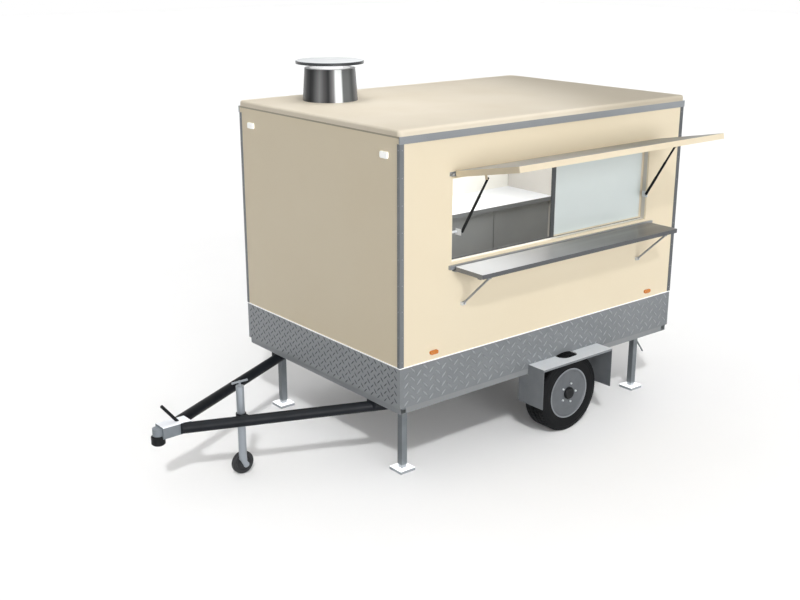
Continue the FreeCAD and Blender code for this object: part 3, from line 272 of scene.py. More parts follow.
# powder-coated window extrusion: cream like the wall, but a grey bottom track and one dark stile
def windowPowderCoat():
    look = {"base": "DCD2BC", "tone": "D5CBB5", "blotchMm": 200, "grainMm": (1.5, 0.02),
            "rough": (0.4, 0.5)}
    finish = layeredFinish("windowPowderCoat", look, {"IOR": 1.45})
    trackHeight, stileWidth = 30 * mm, 36 * mm
    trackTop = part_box("window_frame")[0].z + trackHeight
    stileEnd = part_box("window_sashes")[0].x + stileWidth
    paintWhere(finish, finish["place"][2], trackTop + mm, trackTop, "6E7072")
    paintWhere(finish, finish["place"][0], stileEnd + mm, stileEnd, "484B4E")
    return finish


# cast head, zinc plated: blue grey sides, and a top painted almost white, a painted highlight
def castZinc():
    look = {"base": "80878D", "tone": "787F85", "blotchMm": 60, "grainMm": (2.4, 0.06),
            "rough": (0.34, 0.44)}
    finish = layeredFinish("castZinc", look, {"Metallic": 0.1})
    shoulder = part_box("coupling_head")[1].z - 10 * mm
    topFace = facingWhere(finish, 2, finish["place"][2], "GREATER_THAN", shoulder)
    # painted highlight: the faces on top are painted almost white
    paintWhere(finish, topFace, 0.2, 0.6, "EEF2F7")
    return finish


# steady feet: grey zinc tube on a plate; the plate's top is painted white, a painted highlight
def footZinc():
    look = {"base": "A0A5A9", "tone": "969B9F", "blotchMm": 60, "grainMm": (1.5, 0.03),
            "rough": (0.36, 0.46)}
    finish = layeredFinish("footZinc", look, {"Metallic": 0.1})
    abovePad = groundZ + 25 * mm
    # painted highlight: the upward faces of the pad are painted white
    paintFaces(finish, facingWhere(finish, 2, finish["place"][2], "LESS_THAN", abovePad), 1, "F6F8FA")
    return finish


# the finishes that need no more than those layers and one paint, each with what it dresses. A paint is: the
# axis that a face looks along, or the wheel from whose axle the distance counts; low, high and colour
plainFinishes = {
    # powder coat over folded steel: flat light grey with a fine pimple; faces towards the serving side are
    # painted darker, a painted shade
    "framePowderCoat": {
        "nodes": ("long_rails", "end_rails", "cross_members", "axle_beam", "swing_arms"),
        "shader": {"IOR": 1.5}, "paint": (1, -0.5, -0.8, "8A8D8F"),
        "look": {"base": "999DA0", "tone": "909498", "blotchMm": 300, "grainMm": (1.8, 0.06),
                 "rough": (0.45, 0.58)}},
    # the legs' powder coat: a darker, flat grey with a fine pimple
    "legPowderCoat": {
        "nodes": ("steady_legs",), "shader": {"IOR": 1.5},
        "look": {"base": "7A8084", "tone": "73797D", "blotchMm": 120, "grainMm": (1.8, 0.05),
                 "rough": (0.45, 0.55)}},
    # black chassis paint on drawn tube: near black, soft sheen along the top
    "chassisPaint": {
        "nodes": ("drawbar_tubes", "jockey_clamp"), "shader": {"IOR": 1.5, "Specular IOR Level": 0.15},
        "look": {"base": "1B1E23", "tone": "16191D", "blotchMm": 90, "grainMm": (2.5, 0.04),
                 "rough": (0.36, 0.46), "fleck": "23262C"}},
    # drawn tube, bright zinc: silvery and even
    "brightZinc": {
        "nodes": ("jockey_tube", "jockey_fork"), "shader": {"Metallic": 0.3},
        "look": {"base": "A4ABB2", "tone": "999FA6", "blotchMm": 220, "grainMm": (1.5, 0.02),
                 "rough": (0.28, 0.38)}},
    # pressed brackets, dipped zinc: almost white, dull
    "dippedZinc": {
        "nodes": ("stay_brackets",), "shader": {"Metallic": 0.1},
        "look": {"base": "E2E5E8", "tone": "D6D9DD", "blotchMm": 20, "grainMm": (1.5, 0.03),
                 "rough": (0.4, 0.5)}},
    # thin braces, dull zinc: mid grey
    "dullZinc": {
        "nodes": ("shelf_braces",), "shader": {"Metallic": 0.15},
        "look": {"base": "9A9DA0", "tone": "909396", "blotchMm": 40, "grainMm": (1.5, 0.02),
                 "rough": (0.35, 0.45)}},
    # moulded nylon and plastic-sleeved rod: black, satin, mould grain
    "mouldedNylon": {
        "nodes": ("coupling_fittings", "stay_tubes", "stay_sleeves", "stay_rods"),
        "shader": {"IOR": 1.45, "Specular IOR Level": 0.2},
        "look": {"base": "141517", "tone": "1A1C1E", "blotchMm": 30, "grainMm": (1.2, 0.04),
                 "rough": (0.42, 0.55)}},
    # vulcanised rubber: warm black, dusty in the grooves
    "tyreRubber": {
        "nodes": ("tyre_left", "tyre_right"), "shader": {"IOR": 1.45, "Specular IOR Level": 0.15},
        "look": {"base": "131415", "tone": "191A1C", "blotchMm": 60, "grainMm": (1.6, 0.08),
                 "rough": (0.6, 0.78)}},
    # wheel lacquer on pressed steel: mid grey disc, the rolled rim edge painted brighter, a painted highlight
    "wheelLacquer": {
        "nodes": ("rim_left", "rim_right"), "shader": {"Metallic": 0.1},
        "paint": ("tyre_left", 194 * mm, 198 * mm, "8C9094"),
        "look": {"base": "64686C", "tone": "5E6266", "blotchMm": 70, "grainMm": (2, 0.04),
                 "rough": (0.38, 0.5)}},
    # hub: a black plastic cap inside the ring of bright nuts
    "glossyHubPlastic": {
        "nodes": ("hub_left", "hub_right"), "shader": {"IOR": 1.5, "Specular IOR Level": 0.2},
        "paint": ("tyre_left", 58 * mm, 62 * mm, "E6E9EB"),
        "look": {"base": "111315", "tone": "181A1D", "blotchMm": 30, "grainMm": (1.5, 0.03),
                 "rough": (0.3, 0.45)}},
    # jockey wheel: solid black rubber on a grey nylon bush
    "solidRubber": {
        "nodes": ("jockey_wheel",), "shader": {"IOR": 1.5},
        "paint": ("jockey_wheel", 28 * mm, 25 * mm, "3A3D41"),
        "look": {"base": "1C1D1F", "tone": "232427", "blotchMm": 30, "grainMm": (1.4, 0.06),
                 "rough": (0.5, 0.65)}},
    # galvanised sheet: grey with a faint crystal spangle; faces that look upwards are painted pale, a painted
    # highlight
    "galvanisedSheet": {
        "nodes": ("mudguard_ends", "mudguard_tops"), "shader": {"Metallic": 0.1},
        "paint": (2, 0.2, 0.9, "E4E8EC"),
        "look": {"base": "82868A", "tone": "7B7F83", "blotchMm": 160, "grainMm": (9, 0.02),
                 "rough": (0.4, 0.52), "fleck": "8A8E91"}},
    # the cap over the stack: polished; painted pale on top, a painted highlight, and dark round its rim, a
    # painted reflection
    "polishedStainless": {
        "nodes": ("vent_cap",), "shader": {"Metallic": 0.3}, "paint": (2, 0.75, 0.9, "E4E9EC"),
        "look": {"base": "3C3F42", "tone": "333639", "blotchMm": 120, "grainMm": (2.0, 0.01),
                 "rough": (0.14, 0.2)}},
    # stainless fittings on the door, brushed upwards
    "satinStainless": {
        "nodes": ("door_hinge_frames", "door_fittings"), "shader": {"Metallic": 0.6},
        "look": {"base": "A6AAAE", "tone": "989CA1", "blotchMm": 40, "grainMm": (0.9, 0.02),
                 "rough": (0.25, 0.36), "stretch": (1, 1, 8)}},
    # high-pressure laminate: cool white with a faint pebble, and a grey edge strip along the front
    "whiteLaminate": {
        "nodes": ("worktop",), "shader": {"IOR": 1.45}, "paint": (1, -0.5, -0.8, "7A7D80"),
        "look": {"base": "F2F6FC", "tone": "EEF2F9", "blotchMm": 400, "grainMm": (1.5, 0.02),
                 "rough": (0.3, 0.38)}},
    # painted cabinet board: mid grey, flat
    "paintedBoard": {
        "nodes": ("counter_cabinet",), "shader": {"IOR": 1.45},
        "look": {"base": "979A9C", "tone": "919496", "blotchMm": 350, "grainMm": (2, 0.03),
                 "rough": (0.5, 0.6)}},
    # film-faced plywood floor: brown grey, streaked along the sheet
    "filmedPly": {
        "nodes": ("floor",), "shader": {"IOR": 1.5},
        "look": {"base": "5B5248", "tone": "4F473F", "blotchMm": 80, "grainMm": (3, 0.1),
                 "rough": (0.5, 0.65), "stretch": (4, 1, 1), "fleck": "6A6055"}},
}


# the way and the distance from the axis of a round node; across has a 0 for that axis
def fromAxis(finish, name, across):
    low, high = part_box(name)
    middle = [-(low[axis] + high[axis]) / 2 * across[axis] for axis in range(3)]
    moved = addNode(finish["tree"], "ShaderNodeMapping", {"Location": middle, "Scale": across},
                    {"Vector": finish["here"]})
    away = addNode(finish["tree"], "ShaderNodeVectorMath", {"operation": "LENGTH"}, {0: moved.outputs[0]})
    return moved.outputs[0], away.outputs["Value"]


# brushed stainless shelf: lines along its length; its top is painted bright at the front end and duller to
# the rear, a painted reflection
def brushedStainless():
    look = {"base": "808284", "tone": "7A7C7E", "blotchMm": 60, "grainMm": (1.0, 0.02),
            "rough": (0.34, 0.42), "stretch": (40, 1, 1)}
    finish = layeredFinish("brushedStainless", look, {"Metallic": 0.1})
    tree = finish["tree"]
    low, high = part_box("serving_shelf")
    length = high.x - low.x
    # the painted reflection fades in two steps, and only on the top
    for start, end, code in ((0.75, 0.25, "9FA2A6"), (0.36, 0.06, "D5DAE0")):
        reach = {"From Min": low.x + start * length, "From Max": low.x + end * length}
        fade = addNode(tree, "ShaderNodeMapRange", reach, {"Value": finish["place"][0]})
        paintedSheen = addNode(tree, "ShaderNodeMath", {"operation": "MULTIPLY"},
                         {0: fade.outputs[0], 1: finish["facing"][2]})
        paintWhere(finish, paintedSheen.outputs[0], 0.0, 1.0, code)
    paintFaces(finish, finish["facing"][1], -1, "56585B")
    return finish


# spun stainless stack, with broad light and dark bands painted round it, painted reflections
def buffedStainless():
    look = {"base": "8A8C8F", "tone": "84868A", "blotchMm": 300, "grainMm": (2.0, 0.01),
            "rough": (0.2, 0.28), "stretch": (8, 8, 1)}
    finish = layeredFinish("buffedStainless", look,
                           {"Specular IOR Level": 0.25, "Emission Color": (1, 1, 1, 1)})
    tree = finish["tree"]
    # degrees round the stack, counted from the side that faces the coupling and the serving side
    bands = ((-150, "B4B6B8"), (-120, "8C8E90"), (-95, "56585A"), (-72, "7A7C7E"), (-58, "3E4042"),
             (-47, "1A1C1E"), (-40, "303234"), (-23, "7E8082"), (-14, "58585A"), (-4, "2A2B2D"),
             (3, "464648"), (8, "6E6E70"), (12, "E8EDF0"), (24, "E8EDF0"), (28, "686B6C"), (43, "66696A"),
             (54, "4C4F50"), (70, "74767A"), (95, "6E7072"), (120, "96989A"), (150, "BCBEC0"))
    zeroAngle = math.radians(125.6)
    way, radius = fromAxis(finish, "roof_vent", (1, 1, 0))
    turned = addNode(tree, "ShaderNodeVectorRotate", {"rotation_type": "Z_AXIS", "Angle": zeroAngle},
                     {"Vector": way})
    flat = addNode(tree, "ShaderNodeSeparateXYZ", links={0: turned.outputs[0]})
    angle = addNode(tree, "ShaderNodeMath", {"operation": "ARCTAN2"},
                    {0: flat.outputs[1], 1: flat.outputs[0]})
    share = addNode(tree, "ShaderNodeMapRange", {"From Min": -math.pi, "From Max": math.pi},
                    {"Value": angle.outputs[0]})
    # painted reflections: a ramp of light and dark bands round the stack
    reflectionRamp = addNode(tree, "ShaderNodeValToRGB", links={0: share.outputs[0]})
    marks = reflectionRamp.color_ramp.elements
    for mark, (degrees, code) in ((marks[1], bands[-1]), (marks[0], bands[0])):
        mark.position = 0.5 + degrees / 360
        mark.color = tint(code)
    for degrees, code in bands[1:-1]:
        marks.new(0.5 + degrees / 360).color = tint(code)
    upright = addNode(tree, "ShaderNodeMath", {"operation": "ABSOLUTE"}, {0: finish["facing"][2]})
    wall = addNode(tree, "ShaderNodeMapRange", {"From Min": 0.7, "From Max": 0.4},
                   {"Value": upright.outputs[0]})
    under = finish["shader"].inputs["Base Color"].links[0].from_socket
    paint = addNode(tree, "ShaderNodeMix", {"data_type": "RGBA"},
                    {0: wall.outputs[0], 6: under, 7: reflectionRamp.outputs[0]})
    tree.links.new(paint.outputs[2], finish["shader"].inputs["Base Color"])
    # the top face and the narrow neck under the cap are painted bright: a painted highlight on top, a painted
    # reflection on the neck
    paintWhere(finish, finish["facing"][2], 0.7, 0.9, "F2F5F8")
    low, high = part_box("roof_vent")
    neckShare = 0.75
    neck = neckShare * (high.x - low.x) / 2
    paintWhere(finish, radius, neck, neck - 5 * mm, "FAFBFC")
    # the neck also glows, a painted reflection of the bright surroundings that makes up for the cap's shade
    mirrored = addNode(tree, "ShaderNodeMapRange",
                       {"From Min": neck, "From Max": neck - 5 * mm, "To Max": 0.45}, {"Value": radius})
    tree.links.new(mirrored.outputs[0], finish["shader"].inputs["Emission Strength"])
    return finish


# clear float glass painted a pale blue-green, painted light that stands in for the lit room's far side behind
# it
def paleGlass():
    finish = startFinish("paleGlass", {"IOR": 1.5, "Transmission Weight": 0.15})
    tree, shader = finish["tree"], finish["shader"]
    film = mottling(finish, 400, 2.0)
    colour = addNode(tree, "ShaderNodeMix", {"data_type": "RGBA", 6: tint("EBF4F4"), 7: tint("E4EEEE")},
                     {0: film})
    tree.links.new(colour.outputs[2], shader.inputs["Base Color"])
    gloss = addNode(tree, "ShaderNodeMapRange", {"To Min": 0.1, "To Max": 0.24},
                    {"Value": mottling(finish, 60, 4.0)})
    tree.links.new(gloss.outputs[0], shader.inputs["Roughness"])
    return finish


# moulded lenses: glossy acrylic over a ribbed diffuser; the small lamps are lit a little
def lensFinish(name, base, tone, glow):
    look = {"base": base, "tone": tone, "blotchMm": 20, "grainMm": (3, 0.12), "rough": (0.14, 0.22),
            "stretch": (1, 1, 6)}
    settings = {"IOR": 1.49, "Coat Weight": 0.3, "Coat Roughness": 0.08, "Emission Color": tint(base),
                "Emission Strength": glow}
    return layeredFinish(name, look, settings)


trim = anodisedTrim("anodisedTrim", "9A9EA2", "92969A")
for name, plain in plainFinishes.items():
    finish = plain["finish"] = layeredFinish(name, plain["look"], plain["shader"])
    if "paint" in plain:
        source, low, high, code = plain["paint"]
        onWheel = isinstance(source, str)
        value = fromAxis(finish, source, (1, 0, 1))[1] if onWheel else finish["facing"][source]
        paintWhere(finish, value, low, high, code)
    dress(finish, *plain["nodes"])
rubber = plainFinishes["tyreRubber"]["finish"]
dress(creamEnamel(), "front_wall", "serving_wall", "off_side_wall", "rear_wall", "rear_door")
dress(roofEnamel(), "roof")
dress(flapEnamel(), "hatch_flap")
dress(treadPlate(), "tread_skirt")
dress(trim, "eave_trims", "hatch_hinge_bar", "shelf_rail")
dress(anodisedCorner(), "corner_trims")
dress(windowPowderCoat(), "window_frame", "window_sashes")
dress(castZinc(), "coupling_head")
dress(footZinc(), "foot_front_left", "foot_front_right", "foot_rear_left", "foot_rear_right")
dress(brushedStainless(), "serving_shelf")
dress(buffedStainless(), "roof_vent")
dress(paleGlass(), "window_panes")
dress(lensFinish("clearLens", "F6F7F4", "ECEEEA", 0.4), "front_lamps")
dress(lensFinish("amberLens", "CE7A18", "C26C10", 0.05), "side_markers")
dress(lensFinish("redLens", "A81C1A", "8E1614", 0.1), "rear_lamps")
print("finishes done")


# Small helpers for pieces
def addObject(name, data):
    added = bpy.data.objects.new(name, data)
    bpy.context.scene.collection.objects.link(added)
    return added


def pieceFrom(mesh, name, body, finish):
    piece = addObject(name, mesh)
    mesh.materials.clear()
    mesh.materials.append(finish["material"])
    for polygon in mesh.polygons:
        polygon.use_smooth = True
    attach(piece, body)
    return piece


def meshFrom(name, verts, faces):
    mesh = bpy.data.meshes.new(name)
    mesh.from_pydata(verts, [], faces)
    mesh.update()
    return mesh


# turns a closed profile of (along, radius) about an axle that lies along Y
def turnProfile(name, profile, centre, steps):
    verts = []
    for step in range(steps):
        angle = 2 * math.pi * step / steps
        spoke = Vector((math.sin(angle), 0, math.cos(angle)))
        verts += [Vector(centre) + Vector((0, along, 0)) + spoke * radius for along, radius in profile]
    count = len(profile)
    faces = []
    for step in range(steps):
        after = (step + 1) % steps
        for index in range(count):
            following = (index + 1) % count
            faces.append((step * count + index, step * count + following,
                          after * count + following, after * count + index))
    mesh = meshFrom(name, verts, faces)
    work = bmesh.new()
    work.from_mesh(mesh)
    bmesh.ops.recalc_face_normals(work, faces=work.faces)
    work.to_mesh(mesh)
    work.free()
    return mesh


# closes a stack of rings that have as many points each, the lowest first
def stackRings(name, rings):
    verts = [point for ring in rings for point in ring]
    steps = len(rings[0])
    faces = [tuple(range(len(verts) - steps, len(verts))), tuple(reversed(range(steps)))]
    for low in range(0, len(verts) - steps, steps):
        for step in range(steps):
            after = (step + 1) % steps
            faces.append((low + step, low + after, low + steps + after, low + steps + step))
    return meshFrom(name, verts, faces)


# a Geometry Nodes tree with named inputs, two of them the Shape to spread and its Finish; gives the tree,
# its input sockets and their identifiers
def startTree(name, inputs):
    tree = bpy.data.node_groups.new(name, "GeometryNodeTree")
    identifiers = {}
    for kind, labels in {**inputs, "Object": ("Shape",), "Material": ("Finish",)}.items():
        for label in labels:
            socket = tree.interface.new_socket(name=label, in_out="INPUT", socket_type="NodeSocket" + kind)
            identifiers[label] = socket.identifier
    tree.interface.new_socket(name="Geometry", in_out="OUTPUT", socket_type="NodeSocketGeometry")
    entry = addNode(tree, "NodeGroupInput")
    return tree, entry.outputs, identifiers


# ends a tree: the Shape on each point, Realize Instances, and Set Material
def endTree(tree, given, links):
    shape = addNode(tree, "GeometryNodeObjectInfo", links={"Object": given["Shape"]})
    spread = addNode(tree, "GeometryNodeInstanceOnPoints",
                     links={"Instance": shape.outputs["Geometry"], **links})
    realized = addNode(tree, "GeometryNodeRealizeInstances", links={"Geometry": spread.outputs[0]})
    finished = addNode(tree, "GeometryNodeSetMaterial",
                       links={"Geometry": realized.outputs[0], "Material": given["Finish"]})
    addNode(tree, "NodeGroupOutput", links={"Geometry": finished.outputs[0]})


# runs a tree on an empty object and returns the result as a plain mesh
def growMesh(tree, identifiers, values):
    holder = addObject("holder", bpy.data.meshes.new("holder"))
    modifier = holder.modifiers.new("grow", "NODES")
    modifier.node_group = tree
    for label, value in values.items():
        modifier[identifiers[label]] = value
    bpy.context.view_layer.update()
    ready = holder.evaluated_get(bpy.context.evaluated_depsgraph_get())
    mesh = bpy.data.meshes.new_from_object(ready)
    holder.modifiers.remove(modifier)
    bpy.data.objects.remove(holder)
    return mesh


def joined(meshes, name):
    work = bmesh.new()
    for mesh in meshes:
        work.from_mesh(mesh)
    whole = bpy.data.meshes.new(name)
    work.to_mesh(whole)
    work.free()
    return whole


# Tread lozenges: alternate columns lean the other way and sit half a row lower; a finer sheet covers
# the ends. The rings give a share of the lozenge's size and of its rise
tread = {"side": {"columnPitch": 58.5, "rowPitch": 68, "length": 62, "width": 14, "rise": 3},
         "end": {"columnPitch": 39, "rowPitch": 57, "length": 50, "width": 11, "rise": 2.5},
         "rings": ((1, -0.1), (0.62, 0.8), (0.25, 1)), "pointed": 0.25, "steps": 12, "slant": 45,
         "margin": 30, "sheet": 3, "wheelGap": 45}


# one lozenge: a closed pointed oval with a rounded top, whose underside is sunk into the sheet
def lozengeMesh(size):
    rings = []
    for share, rise in tread["rings"]:
        ring = []
        for step in range(tread["steps"]):
            angle = 2 * math.pi * step / tread["steps"]
            along = math.cos(angle)
            across = math.sin(angle) * (1 - tread["pointed"] * along * along)
            ring.append((along * size["length"] / 2 * share * mm, across * size["width"] / 2 * share * mm,
                         rise * size["rise"] * mm))
        rings.append(ring)
    return stackRings("lozenge", rings)


def treadTree():
    tree, given, names = startTree("treadPattern", {
        "Int": ("Columns", "Rows"),
        "Float": ("Column Pitch", "Row Pitch", "Slant", "Hole X", "Hole Y", "Hole Radius")})
    spans = []
    for count, pitch in (("Columns", "Column Pitch"), ("Rows", "Row Pitch")):
        gaps = addNode(tree, "ShaderNodeMath", {"operation": "SUBTRACT", 1: 1.0}, {0: given[count]})
        spans.append(addNode(tree, "ShaderNodeMath", {"operation": "MULTIPLY"},
                             {0: gaps.outputs[0], 1: given[pitch]}).outputs[0])
    grid = addNode(tree, "GeometryNodeMeshGrid", links={
        "Size X": spans[0], "Size Y": spans[1], "Vertices X": given["Columns"], "Vertices Y": given["Rows"]})
    place = addNode(tree, "GeometryNodeInputPosition")
    split = addNode(tree, "ShaderNodeSeparateXYZ", links={0: place.outputs[0]})
    fromLeft = addNode(tree, "ShaderNodeMath", {"operation": "MULTIPLY_ADD", 1: 0.5},
                       {0: spans[0], 2: split.outputs[0]})
    step = addNode(tree, "ShaderNodeMath", {"operation": "DIVIDE"},
                   {0: fromLeft.outputs[0], 1: given["Column Pitch"]})
    column = addNode(tree, "ShaderNodeMath", {"operation": "ROUND"}, {0: step.outputs[0]})
    odd = addNode(tree, "ShaderNodeMath", {"operation": "MODULO", 1: 2.0}, {0: column.outputs[0]})
    drop = addNode(tree, "ShaderNodeMath", {"operation": "MULTIPLY"},
                   {0: odd.outputs[0], 1: given["Row Pitch"]})
    halfDrop = addNode(tree, "ShaderNodeMath", {"operation": "MULTIPLY", 1: 0.5}, {0: drop.outputs[0]})
    offset = addNode(tree, "ShaderNodeCombineXYZ", links={1: halfDrop.outputs[0]})
    hole = addNode(tree, "ShaderNodeCombineXYZ", links={0: given["Hole X"], 1: given["Hole Y"]})
    away = addNode(tree, "ShaderNodeVectorMath", {"operation": "DISTANCE"},
                   {0: place.outputs[0], 1: hole.outputs[0]})
    clear = addNode(tree, "FunctionNodeCompare", {"operation": "GREATER_THAN"},
                    {0: away.outputs["Value"], 1: given["Hole Radius"]})
    shifted = addNode(tree, "GeometryNodeSetPosition",
                      links={"Geometry": grid.outputs[0], "Offset": offset.outputs[0]})
    # 1 for the even columns and -1 for the odd ones
    lean = addNode(tree, "ShaderNodeMath", {"operation": "MULTIPLY_ADD", 1: -2.0, 2: 1.0},
                   {0: odd.outputs[0]})
    turn = addNode(tree, "ShaderNodeMath", {"operation": "MULTIPLY"}, {0: lean.outputs[0], 1: given["Slant"]})
    euler = addNode(tree, "ShaderNodeCombineXYZ", links={2: turn.outputs[0]})
    endTree(tree, given, {"Points": shifted.outputs[0], "Selection": clear.outputs[0],
                          "Rotation": euler.outputs[0]})
    return tree, names


shapes = {kind: bpy.data.objects.new(kind + "Lozenge", lozengeMesh(tread[kind]))
          for kind in ("side", "end")}
treadNodes, treadNames = treadTree()
bright = rubbedAluminium()
panelHeight = skirtTop - beadHeight - lowZ


# a panel is given by its lower left corner, the way to the right and its width; a wheel leaves a gap
def treadPanel(kind, corner, right, width, wheel=None):
    size = tread[kind]
    columnPitch, rowPitch = size["columnPitch"] * mm, size["rowPitch"] * mm
    columns = int((width - tread["margin"] * mm) / columnPitch)
    rows = int((panelHeight - size["width"] * mm) / rowPitch)
    middle = Vector(corner) + Vector(right) * width / 2 + Vector((0, 0, panelHeight / 2 - rowPitch / 4))
    gap = wheel - middle if wheel else Vector()
    values = {"Columns": columns, "Rows": rows, "Column Pitch": columnPitch, "Row Pitch": rowPitch,
              "Slant": math.radians(tread["slant"]), "Hole X": gap.dot(Vector(right)), "Hole Y": gap.z,
              "Hole Radius": tyreRadius + tread["wheelGap"] * mm if wheel else 0.0, "Shape": shapes[kind],
              "Finish": bright["material"]}
    mesh = growMesh(treadNodes, treadNames, values)
    out = Vector(right).cross(Vector((0, 0, 1)))
    turn = Matrix((right, (0, 0, 1), out)).transposed().to_4x4()
    mesh.transform(Matrix.Translation(middle) @ turn)
    return mesh


sheet = tread["sheet"] * mm
longSide = rearX - frontX
wheelCentre = Vector((wheelX, 0, wheelZ))
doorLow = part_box("rear_door")[0].y
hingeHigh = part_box("door_hinge_frames")[1].y
panels = [treadPanel("side", (frontX, -wallY - sheet, lowZ), (1, 0, 0), longSide, wheelCentre),
          treadPanel("side", (rearX, wallY + sheet, lowZ), (-1, 0, 0), longSide, wheelCentre),
          treadPanel("end", (frontX - sheet, wallY, lowZ), (0, -1, 0), wallY * 2),
          treadPanel("end", (rearX + sheet, -wallY, lowZ), (0, 1, 0), doorLow + wallY),
          treadPanel("end", (rearX + sheet, hingeHigh, lowZ), (0, 1, 0), wallY - hingeHigh)]
pieceFrom(joined(panels, "treadLozenges"), "treadLozenges", "trailer", bright)
print("tread lozenges done")


# Tyres: a moulded carcass with rings on its wall, and tread blocks set round it. Wall and lining are pairs
# of the place along the axle and the radius; shoulder and crown give the depth under the grooves' floor
# instead. A rib is its middle along the axle, its width and the share of a block that it is turned by
tyre = {"wall": ((68, 196), (83, 199), (88, 207), (90.5, 213), (90, 216), (93.5, 224), (96.5, 238),
                 (97.5, 250), (97.2, 262), (95.2, 272), (96.2, 274), (95.6, 278), (93.6, 280), (91, 291)),
        "shoulder": ((88, 4), (84, 1)), "crown": (70, 8),
        "lining": ((82, 280), (88, 255), (82, 222), (72, 204)), "steps": 96, "grooveDepth": 7,
        "blocks": 58, "pitchDepth": 2, "blockGap": 3.5, "blockRoot": 3, "bevelDrop": 1.2, "bevelInset": 1.5,
        "ribs": ((-66, 34, 0.5), (-24, 36, 0), (24, 36, 0.5), (66, 34, 0))}


def tyreCarcass(side):
    base = tyreRadius / mm - tyre["grooveDepth"]
    wall = list(tyre["wall"]) + [(along, base - depth) for along, depth in tyre["shoulder"]]
    lining = [(tyre["crown"][0], base - tyre["crown"][1])] + list(tyre["lining"])
    profile = wall + [(-along, radius) for along, radius in reversed(wall)]
    profile += [(-along, radius) for along, radius in reversed(lining)] + lining
    scaled = [(along * mm, radius * mm) for along, radius in profile]
    low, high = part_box(side)
    centre = Vector((wheelX, (low.y + high.y) / 2, wheelZ))
    return turnProfile(side + "Carcass", scaled, centre, tyre["steps"]), centre


# one block of the tread: a chamfered pad that lies on XY, grown upwards
def treadBlock(width):
    pitch = 2 * math.pi * (tyreRadius / mm - tyre["pitchDepth"]) / tyre["blocks"]
    halfAlong, halfAcross = (pitch - tyre["blockGap"]) / 2, width / 2
    top = tyre["grooveDepth"]
    levels = ((-tyre["blockRoot"], 0), (top - tyre["bevelDrop"], 0), (top, tyre["bevelInset"]))
    rings = [[(sx * (halfAlong - inward) * mm, sy * (halfAcross - inward) * mm, rise * mm)
              for sx, sy in ((-1, -1), (1, -1), (1, 1), (-1, 1))] for rise, inward in levels]
    return stackRings("treadBlock", rings)


def treadRingTree():
    tree, given, names = startTree("treadRing", {
        "Int": ("Blocks",), "Float": ("Radius", "Along Axle", "Turn")})
    line = addNode(tree, "GeometryNodeMeshLine", links={"Count": given["Blocks"]})
    index = addNode(tree, "GeometryNodeInputIndex")
    moved = addNode(tree, "ShaderNodeMath", {"operation": "ADD"}, {0: index.outputs[0], 1: given["Turn"]})
    share = addNode(tree, "ShaderNodeMath", {"operation": "DIVIDE"},
                    {0: moved.outputs[0], 1: given["Blocks"]})
    angle = addNode(tree, "ShaderNodeMath", {"operation": "MULTIPLY", 1: 2 * math.pi}, {0: share.outputs[0]})
    spoke = []
    for operation in ("SINE", "COSINE"):
        wave = addNode(tree, "ShaderNodeMath", {"operation": operation}, {0: angle.outputs[0]})
        spoke.append(addNode(tree, "ShaderNodeMath", {"operation": "MULTIPLY"},
                             {0: wave.outputs[0], 1: given["Radius"]}).outputs[0])
    place = addNode(tree, "ShaderNodeCombineXYZ", links={0: spoke[0], 1: given["Along Axle"], 2: spoke[1]})
    ring = addNode(tree, "GeometryNodeSetPosition",
                   links={"Geometry": line.outputs[0], "Position": place.outputs[0]})
    turn = addNode(tree, "ShaderNodeCombineXYZ", links={1: angle.outputs[0]})
    endTree(tree, given, {"Points": ring.outputs[0], "Rotation": turn.outputs[0]})
    return tree, names


ringNodes, ringNames = treadRingTree()
for side in ("left", "right"):
    carcass, centre = tyreCarcass("tyre_" + side)
    parts = [carcass]
    for along, width, turn in tyre["ribs"]:
        block = bpy.data.objects.new("treadBlock", treadBlock(width))
        values = {"Blocks": tyre["blocks"], "Radius": tyreRadius - tyre["grooveDepth"] * mm,
                  "Along Axle": along * mm, "Turn": turn, "Shape": block, "Finish": rubber["material"]}
        ring = growMesh(ringNodes, ringNames, values)
        ring.transform(Matrix.Translation(centre))
        parts.append(ring)
    name = "tyre" + side.title()
    piece = pieceFrom(joined(parts, name), name, "wheel_" + side, rubber)
    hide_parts("tyre_" + side)
print("tyres done")


# Rivets: low domed heads along the corner and eave trims. The rings give a share of radius and rise
rivet = {"radius": 4.5, "rise": 2, "rings": ((1, -0.4), (1, 0.25), (0.72, 0.75), (0.3, 1)), "steps": 10,
         "pitch": 190, "sideLine": 17, "endLine": 12, "clear": 40}


def rivetHead():
    rings = []
    for share, rise in rivet["rings"]:
        reach = rivet["radius"] * share * mm
        turns = [2 * math.pi * step / rivet["steps"] for step in range(rivet["steps"])]
        rings.append([(math.cos(turn) * reach, math.sin(turn) * reach, rise * rivet["rise"] * mm)
                      for turn in turns])
    return stackRings("rivetHead", rings)


def rivetRowTree():
    tree, given, names = startTree("rivetRow", {"Int": ("Count",), "Vector": ("From", "Step", "Facing")})
    line = addNode(tree, "GeometryNodeMeshLine", links={
        "Count": given["Count"], "Start Location": given["From"], "Offset": given["Step"]})
    align = addNode(tree, "FunctionNodeAlignRotationToVector", {"axis": "Z"}, {"Vector": given["Facing"]})
    endTree(tree, given, {"Points": line.outputs[0], "Rotation": align.outputs[0]})
    return tree, names


headShape = bpy.data.objects.new("rivetHead", rivetHead())
rowNodes, rowNames = rivetRowTree()


def rivetRow(start, end, facing):
    start, end = Vector(start), Vector(end)
    gaps = max(1, round((end - start).length / (rivet["pitch"] * mm)))
    values = {"Count": gaps + 1, "From": start, "Step": (end - start) / gaps, "Facing": Vector(facing),
              "Shape": headShape, "Finish": trim["material"]}
    return growMesh(rowNodes, rowNames, values)


